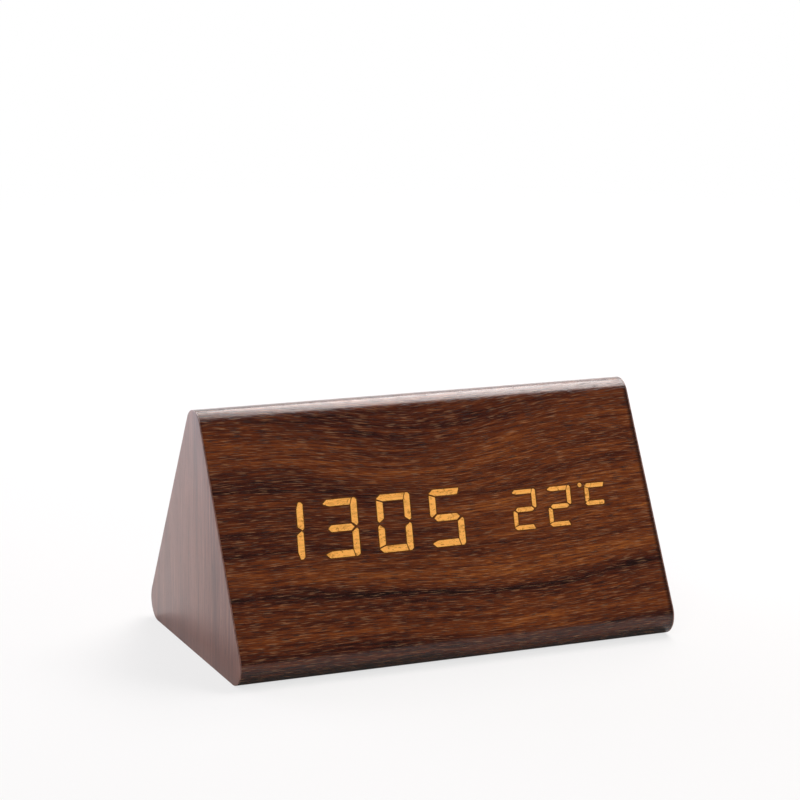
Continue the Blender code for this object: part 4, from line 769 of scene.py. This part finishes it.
displayLook = {
    "drop": 0.14 * mm,
    "slant": 0.105,
    # digit: middle, half width, half height, stroke, and the lit segments
    "timeDigits": (
        (-52.66, 4.67, 8.25, 2.1, ("right", "rightRaised")),
        (-34.53, 4.67, 8.25, 2.1, ("top", "right", "middle", "rightLow", "bottom")),
        (-16.40, 4.67, 8.25, 2.1, ("top", "right", "rightLow", "bottom", "leftLow", "left")),
        (1.73, 4.67, 8.25, 2.1, ("topLong", "left", "middle", "rightLow", "bottom")),
    ),
    "temperatureDigits": (
        (29.26, 3.465, 5.85, 1.4, ("top", "right", "middle", "leftLow", "bottomLong")),
        (41.90, 3.465, 5.85, 1.4, ("top", "right", "middle", "leftLow", "bottomLong")),
        (54.90, 2.85, 5.85, 1.4, ("unitTop", "unitLeft", "unitFoot")),
    ),
    "degreeMark": (50.37, 6.27, 0.7),
    "softCorner": 0.16 * mm,
    "rim": 0.22 * mm,
    "proud": 0.015 * mm,
    "glowReach": 0.42 * mm,
    "gridLines": (-61.72, -43.60, -25.47, -7.34, 10.79, 22.94, 35.6, 48.3, 61.2),
    "gridHeights": (-10.14, 9.86),
    "gridCuts": 63,
}
# each point of a segment: side of the digit, share of the stroke across, level, share of the stroke up
segmentShares = {
    "top": (
        (-1, -0.5, 1, -0.1), (-1, 0.15, 1, 0.5), (1, -0.35, 1, 0.5), (1, -0.62, 1, -0.5), (-1, 0.5, 1, -0.5),
    ),
    "topLong": (
        (-1, -0.5, 1, -0.1), (-1, 0.15, 1, 0.5), (1, 0.06, 1, 0.46), (1, -0.28, 1, -0.5), (-1, 0.5, 1, -0.5),
    ),
    "unitTop": (
        (-1, -0.5, 1, -0.1), (-1, 0.15, 1, 0.5), (1, 0.48, 1, 0.46), (1, 0.22, 1, -0.5), (-1, 0.5, 1, -0.5),
    ),
    "right": (
        (1, -0.18, 1, 0.5), (1, 0.2, 1, 0.5), (1, 0.5, 1, 0.2), (1, 0.5, 0, 0.45), (1, 0.25, 0, 0.2),
        (1, -0.5, 0, 0.75), (1, -0.5, 1, -0.55),
    ),
    "left": (
        (-1, -0.5, 1, -0.35), (-1, 0.5, 1, -0.72), (-1, 0.5, 0, 0.75), (-1, -0.25, 0, 0.2),
        (-1, -0.5, 0, 0.45),
    ),
    "middle": (
        (-1, 0.12, 0, 0), (-1, 0.62, 0, 0.5), (1, -0.62, 0, 0.5), (1, -0.12, 0, 0), (1, -0.62, 0, -0.5),
        (-1, 0.62, 0, -0.5),
    ),
    "bottomLong": (
        (-1, -0.5, -1, 0.1), (-1, 0.15, -1, -0.5), (1, -0.18, -1, -0.5), (1, -0.62, -1, 0.5),
        (-1, 0.5, -1, 0.5),
    ),
    "unitLeft": (
        (-1, -0.5, 1, -0.35), (-1, 0.5, 1, -0.72), (-1, 0.5, 0, 0.85), (-1, -0.25, 0, 0.3),
        (-1, -0.5, 0, 0.55),
    ),
    "unitFoot": (
        (-1, -0.55, 0, 0.0), (-1, 0.1, 0, 0.5), (1, 0.0, 0, 0.5), (1, 0.25, 0, 0.22), (1, 0.2, 0, -0.38),
        (1, 0.0, 0, -0.5), (-1, -0.1, 0, -0.5),
    ),
}
for upper, lower in (("top", "bottom"), ("right", "rightLow"), ("left", "leftLow")):
    segmentShares[lower] = tuple(
        (side, across, -level, -up) for side, across, level, up in segmentShares[upper]
    )
segmentShares["rightRaised"] = tuple(
    (side, across - 0.16, level, up + 0.28) for side, across, level, up in segmentShares["rightLow"]
)


def segmentOutlines(key):
    # the outlines of the lit segments on the front face, in metres from its middle
    outlines = []
    for middle, halfWidth, halfHeight, stroke, lit in displayLook[key]:
        for segment in lit:
            outline = []
            for side, across, level, up in segmentShares[segment]:
                x = (side * halfWidth + across * stroke) * mm
                y = (level * halfHeight + up * stroke) * mm
                outline.append((middle * mm + x + displayLook["slant"] * y, y - displayLook["drop"]))
            outlines.append(outline)
    if key == "temperatureDigits":
        x, y, radius = displayLook["degreeMark"]
        outline = []
        for i in range(24):
            turn = math.tau * i / 24
            high = (y + radius * math.sin(turn)) * mm - displayLook["drop"]
            outline.append(((x + radius * math.cos(turn)) * mm, high))
        outlines.append(outline)
    return outlines


def litSegments(key):
    # filled outlines with soft corners, a rim drawn in round each, lifted a hair off the laminate
    piece = filledShape(key, segmentOutlines(key))
    bpy.ops.mesh.select_mode(type="VERT")
    pick(piece, "verts", lambda middle, point: len(point.link_faces[0].verts) < 10)
    bpy.ops.mesh.bevel(offset=displayLook["softCorner"], segments=3, affect="VERTICES")
    bpy.ops.mesh.select_mode(type="FACE")
    bpy.ops.mesh.select_all(action="SELECT")
    bpy.ops.mesh.inset(thickness=displayLook["rim"], use_individual=True)
    shape = bmesh.from_edit_mesh(piece.data)
    inner = {point for face in shape.faces if face.select for point in face.verts}
    layer = shape.verts.layers.float.new("rim")
    for point in shape.verts:
        point[layer] = 0.0 if point in inner else 1.0
    for face in shape.faces:
        if face.normal.z < 0:
            face.normal_flip()
    bmesh.update_edit_mesh(piece.data)
    bpy.ops.mesh.select_all(action="SELECT")
    drawOut((0, 0, 2 * displayLook["proud"]))
    toObjectMode()
    piece.matrix_world = frontPlace @ Matrix.Translation((0, 0, -displayLook["proud"]))
    applyPlace(piece)
    closeUp(piece, distance=0.0005 * mm)
    return piece


def closestSegment(points, outlines):
    # how far each point lies outside the nearest outline, 0 inside it
    best = np.full(len(points), 1.0)
    for outline in outlines:
        corners = np.array(outline)
        ahead = np.roll(corners, -1, axis=0)
        inside = np.zeros(len(points), bool)
        nearest = np.full(len(points), 1.0)
        for (ax, ay), (bx, by) in zip(corners, ahead):
            edge = np.array((bx - ax, by - ay))
            away = points - (ax, ay)
            share = np.clip(away @ edge / (edge @ edge), 0, 1)
            gap = away - share[:, None] * edge
            nearest = np.minimum(nearest, np.hypot(gap[:, 0], gap[:, 1]))
            crosses = (ay > points[:, 1]) != (by > points[:, 1])
            if ay != by:
                inside ^= crosses & (points[:, 0] < (bx - ax) * (points[:, 1] - ay) / (by - ay) + ax)
        best = np.minimum(best, np.where(inside, 0, nearest))
    return best


def isFrontFace(middle, face):
    return face.normal.dot(frontOut) > 0.999 and (middle - frontPlace.translation).dot(frontOut) > -0.1 * mm


def gridBehindDigits(piece):
    # cuts the front face round the digits and divides it finely there, to carry the glow
    edit(piece)
    for height in displayLook["gridHeights"]:
        pick(piece, "faces", isFrontFace)
        bpy.ops.mesh.bisect(plane_co=frontPlace @ Vector((0, height * mm, 0)), plane_no=upFront)
    low, high = displayLook["gridHeights"]

    def inStrip(middle, face):
        height = (frontPlace.inverted() @ middle).y / mm
        return isFrontFace(middle, face) and low < height < high

    # the gap between the large and the small digits stays undivided
    lines = displayLook["gridLines"]
    for line in lines:
        pick(piece, "faces", inStrip)
        bpy.ops.mesh.bisect(plane_co=(line * mm, 0, 0), plane_no=(1, 0, 0))
    pick(piece, "faces", lambda middle, face: (
        inStrip(middle, face) and lines[0] * mm < middle.x < lines[-1] * mm
        and not lines[4] * mm < middle.x < lines[5] * mm
    ))
    bpy.ops.mesh.subdivide(number_cuts=displayLook["gridCuts"])
    toObjectMode()


def writeGrain(piece):
    # where each point lies along the case and round it, for the grain, and how much light reaches it
    data = piece.data
    grain = data.attributes.new("grain", "FLOAT_VECTOR", "POINT")
    for point, item in zip(data.vertices, grain.data):
        item.vector = (point.co.x, grainHeight(point.co), 0)
    places = np.empty(3 * len(data.vertices))
    data.vertices.foreach_get("co", places)
    inverse = np.array(frontPlace.inverted())
    local = places.reshape(-1, 3) @ inverse[:3, :3].T + inverse[:3, 3]
    outlines = segmentOutlines("timeDigits") + segmentOutlines("temperatureDigits")
    away = closestSegment(local[:, :2], outlines)
    light = np.exp(-(away / displayLook["glowReach"]) ** 2) * (local[:, 2] > -0.1 * mm)
    glow = data.attributes.new("glow", "FLOAT", "POINT")
    glow.data.foreach_set("value", light.astype(np.float32))


sheet = wrapSheet()
leftFace = endFace(sheet, -1)
rightFace = endFace(sheet, 1)
applyModifier(sheet, "SOLIDIFY", thickness=caseSize["laminate"], offset=-1, use_even_offset=True)
opening = rearOpening()
applyModifier(sheet, "BOOLEAN", operation="DIFFERENCE", object=opening, solver="EXACT")
bpy.data.objects.remove(opening)
gridBehindDigits(sheet)
shadeByAngle(sheet, 30)
writeGrain(sheet)
handOver(sheet, "walnut_wrap", "case", "walnut_laminate", [walnutWrap], "case_veneer")
handOver(leftFace, "left_end_face", "case", "end_laminate", [endWalnut], "left_end_veneer")
handOver(rightFace, "right_end_face", "case", "end_laminate", [endWalnut], "right_end_veneer")
handOver(litSegments("timeDigits"), "time_digits", "case", "diffuser_film", [amber])
handOver(litSegments("temperatureDigits"), "temperature_digits", "case", "diffuser_film", [amber])
print("case and digits made")

# rear insert
rearLook = {
    "buttons": {"set_button": 15, "up_button": 30, "down_button": 45},
    "buttonRow": 9.5,
    # radius and height in mm
    "button": (
        (0, 0.40), (1.0, 0.42), (1.8, 0.49), (2.4, 0.60), (2.8, 0.70), (3.5, 0.70), (3.5, -2.6), (4.4, -2.6),
        (4.4, -3.4), (0, -3.4),
    ),
    "screwReach": (56.2, 21.2),
    "screw": ((0, 0), (2.1, 0), (2.1, -0.12), (1.0, -1.2), (1.0, -4.8), (0.15, -6.0), (0, -6.0)),
    "recess": (3.0, 0.75, 0.95, 0.5, 0.7),     # length, width, depth, shares of both left at its foot
    "recessShade": (1.1, 0.95),       # how deep and how wide the recess is painted dark: painted shade, with dull plating
    "pin": ((0, 0), (0.55, 0), (0.85, -0.25), (1.0, -0.7), (1.0, -7.2), (0, -7.2)),
    "pinPlace": (42, -11, -0.9),
    # raised signs over the buttons: corners in mm round each sign's middle
    "signs": {
        15: ((-1.6, -0.5), (1.6, -0.5), (1.6, 0.5), (-1.6, 0.5)),
        30: ((-1.6, -1.2), (1.6, -1.2), (0, 1.5)),
        45: ((-1.6, 1.2), (0, -1.5), (1.6, 1.2)),
    },
    "signRow": 17.2,
    "signRise": 0.28,
    "signSoft": 0.07 * mm,
    "face": -0.3,
}
cellLook = {
    "profile": (
        (0, 44.5), (1.9, 44.5), (1.9, 43.3), (4.35, 43.3), (4.45, 43.5), (5.25, 43.5), (5.25, 0), (4.45, 0),
        (4.35, 0.2), (3.4, 0.2), (3.2, 0.05), (0, 0.05),
    ),
    "steelRadius": 4.4,
    "nubFoot": 43.6,
    "length": 44.5,
    "height": -7.55,
    # across the tub, along the tub, and which way the nub points
    "places": ((12.7, -44.85, 1), (1.0, -6.15, -1), (-10.7, -44.85, 1)),
    "springs": ((12.7, -50.65, 1), (1.0, -0.35, -1), (-10.7, -50.65, 1)),
    "spring": (4, 5.5, 0.3, 3.6, 2.4),      # turns, length, wire radius, first and last radius
}


def turned(profile, steps=64, soft=0.1, angle=25):
    # one point drawn along a profile of radius and height in mm, spun round Z, its edges softened
    bpy.ops.mesh.primitive_plane_add(size=1)
    piece = bpy.context.object
    edit(piece, "VERT")
    bpy.ops.mesh.select_all(action="SELECT")
    bpy.ops.mesh.merge(type="CENTER")
    points = [Vector((radius * mm, 0, height * mm)) for radius, height in profile]
    bpy.ops.transform.translate(value=points[0])
    for here, there in zip(points, points[1:]):
        drawOut(there - here)
    bpy.ops.mesh.select_all(action="SELECT")
    bpy.ops.mesh.spin(steps=steps, angle=math.tau, center=(0, 0, 0), axis=(0, 0, 1))
    closeUp(piece)
    if soft:
        softenEdges(piece, soft * mm, 3, angle)
    shadeByAngle(piece, 40)
    return piece


def ownCopy(piece):
    made = bpy.data.objects.new(piece.name, piece.data.copy())
    scene.collection.objects.link(made)
    return made


def placeRear(piece, x, y, z, turn=None):
    piece.matrix_world = rearPlace @ Matrix.Translation((x * mm, y * mm, z * mm)) @ (turn or Matrix())
    applyPlace(piece)
    return piece


def softened(name, width=0.15, angle=35, segments=2):
    # a CAD part's own shape, welded, its flat faces made whole and its edges softened
    piece = ownCopy(nodes[name])
    closeUp(piece)
    edit(piece)
    bpy.ops.mesh.select_all(action="SELECT")
    bpy.ops.mesh.dissolve_limited(angle_limit=math.radians(2))
    softenEdges(piece, width * mm, segments, angle)
    shadeByAngle(piece, 50)
    applyModifier(piece, "WEIGHTED_NORMAL", weight=100, keep_sharp=True)
    return piece


def crossScrew():
    # a countersunk screw with a tapered cross recess
    piece = turned(rearLook["screw"], 48, 0.08)
    length, width, depth, lengthShare, widthShare = rearLook["recess"]
    for turn in (0, math.pi / 2):
        bpy.ops.mesh.primitive_cube_add(size=1)
        blade = bpy.context.object
        blade.scale = (length * mm, width * mm, 2 * depth * mm)
        applyPlace(blade)
        edit(blade)
        pick(blade, "faces", lambda middle, face: face.normal.z < -0.9)
        bpy.ops.transform.resize(value=(lengthShare, widthShare, 1))
        toObjectMode()
        blade.rotation_euler = (0, 0, turn)
        applyPlace(blade)
        applyModifier(piece, "BOOLEAN", operation="DIFFERENCE", object=blade, solver="EXACT")
        bpy.data.objects.remove(blade)
    shadeByAngle(piece, 30)
    # the foot of the recess is painted dark: painted shade, with the plating dull there
    floor, reach = rearLook["recessShade"]
    recessShade = piece.data.attributes.new("recessShade", "FLOAT", "POINT")
    for point, item in zip(piece.data.vertices, recessShade.data):
        deep = -floor * mm < point.co.z < -0.5 * depth * mm
        item.value = 1.0 if deep and math.hypot(point.co.x, point.co.y) < reach * mm else 0.0
    return piece


def dryCell():
    # the cell standing on its flat end, steel inside the jacket's two lips
    piece = turned(cellLook["profile"], 64, 0.12)
    piece.data.materials.append(jacket)
    piece.data.materials.append(metals["nickel plated steel"])
    edit(piece)
    pick(piece, "faces", lambda middle, face: (
        math.hypot(middle.x, middle.y) < cellLook["steelRadius"] * mm or middle.z > cellLook["nubFoot"] * mm
    ))
    bpy.context.object.active_material_index = 1
    bpy.ops.object.material_slot_assign()
    toObjectMode()
    band = piece.data.attributes.new("band", "FLOAT", "POINT")
    for point, item in zip(piece.data.vertices, band.data):
        item.value = point.co.z / (cellLook["length"] * mm)
    return piece


def raisedSigns():
    # a bar and two arrowheads moulded proud of the panel, telling the buttons apart by touch
    outlines = []
    for middle, corners in rearLook["signs"].items():
        outlines.append([((middle + x) * mm, y * mm) for x, y in corners])
    piece = filledShape("signs", outlines)
    bpy.ops.mesh.select_all(action="SELECT")
    drawOut((0, 0, 1.5 * rearLook["signRise"] * mm))
    closeUp(piece)
    softenEdges(piece, rearLook["signSoft"], 2, 30)
    shadeByAngle(piece, 30)
    return placeRear(piece, 0, rearLook["signRow"], rearLook["face"] - 0.5 * rearLook["signRise"])


def springCoil():
    # one wire wound round X, wide at its foot
    turns, length, wire, first, last = cellLook["spring"]
    curve = bpy.data.curves.new("spring", "CURVE")
    curve.dimensions = "3D"
    curve.bevel_depth = wire * mm
    curve.bevel_resolution = 3
    curve.use_fill_caps = True
    count = 28 * turns
    spline = curve.splines.new("POLY")
    spline.points.add(count)
    for i, point in enumerate(spline.points):
        share = i / count
        radius = first + (last - first) * share
        along = wire + (length - 2 * wire) * share
        turn = math.tau * turns * share
        point.co = (along * mm, radius * mm * math.cos(turn), radius * mm * math.sin(turn), 1)
    piece = meshFromCurve("spring", curve)
    shadeByAngle(piece, 60)
    return piece


blackPlastic = [plastics["black moulded ABS"]]
handOver(softened("rear_panel", 0.14), "rear_moulding", "case", "black_abs", blackPlastic, "rear_panel")
handOver(raisedSigns(), "button_signs", "case", "black_abs", blackPlastic)
door = softened("battery_door", 0.16)
handOver(door, "door_moulding", "battery_door", "black_abs", blackPlastic, "battery_door")
jack = softened("dc_jack", 0.14)
handOver(jack, "jack_moulding", "case", "switch_plastic", [plastics["inlet nylon"]], "dc_jack")
pin = placeRear(turned(rearLook["pin"], 32, 0.05), *rearLook["pinPlace"])
handOver(pin, "jack_centre_pin", "case", "inlet_pin", [metals["turned brass"]], "dc_jack_pin")

cap = turned(rearLook["button"], 64, 0.22)
for name, x in rearLook["buttons"].items():
    made = placeRear(ownCopy(cap), x, rearLook["buttonRow"], 0)
    handOver(made, name + "_cap", name, "button_abs", [plastics["button ABS"]], name)
bpy.data.objects.remove(cap)

screw = crossScrew()
zinc = [metals["zinc plated steel"]]
for number in range(1, 5):
    # each sits at the corner where its CAD screw is
    replaced = f"rear_panel_screw_{number}"
    low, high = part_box(replaced)
    corner = rearPlace.inverted() @ ((low + high) / 2)
    x, y = (math.copysign(reach, place) for reach, place in zip(rearLook["screwReach"], corner))
    made = placeRear(ownCopy(screw), x, y, rearLook["face"])
    handOver(made, f"cross_screw_{number}", "case", "zinc_steel", zinc, replaced)
bpy.data.objects.remove(screw)
print("rear moulding, door, buttons and screws made")

cell = dryCell()
for number, (y, x, side) in enumerate(cellLook["places"], 1):
    made = placeRear(ownCopy(cell), x, y, cellLook["height"], Matrix.Rotation(side * math.pi / 2, 4, "Y"))
    handOver(made, f"dry_cell_{number}", "case", "cell_jacket", [], f"aaa_cell_{number}")
bpy.data.objects.remove(cell)
coil = springCoil()
nickel = [metals["nickel plated steel"]]
for number, (y, x, side) in enumerate(cellLook["springs"], 1):
    turn = Matrix.Rotation(0 if side > 0 else math.pi, 4, "Z")
    made = placeRear(ownCopy(coil), x, y, cellLook["height"], turn)
    handOver(made, f"coil_spring_{number}", "case", "nickel_wire", nickel, f"battery_spring_{number}")
bpy.data.objects.remove(coil)
print("cells and springs made")

# the rest of the CAD parts keep their shape and get their real materials
finishOf = {
    "base_sheet": walnutSheet,
    "front_board rear_board base_board left_end_panel right_end_panel": fibreboard,
    "control_board display_board": circuitBoard,
    "mcu_chip display_driver thermistor": plastics["moulded epoxy"],
    "display_reflector": plastics["white reflector ABS"],
    "display_diffuser": plastics["frosted film"],
    "set_switch up_switch down_switch buzzer": plastics["inlet nylon"],
    "set_plunger up_plunger down_plunger": plastics["plunger acetal"],
    "battery_lead_red": plastics["red lead sleeve"],
    "battery_lead_black": plastics["black lead sleeve"],
    "display_ribbon": plastics["grey ribbon"],
    "microphone crystal control_board_screw_1 control_board_screw_2": metals["zinc plated steel"],
    "display_screw_1 display_screw_2 display_screw_3 display_screw_4": metals["zinc plated steel"],
    "battery_contact_1 battery_contact_2 battery_contact_3 battery_contact_4": metals["nickel plated steel"],
}
for names, finish in finishOf.items():
    for name in names.split():
        for place in nodes[name].material_slots:
            place.material = finish
print("inner parts finished")
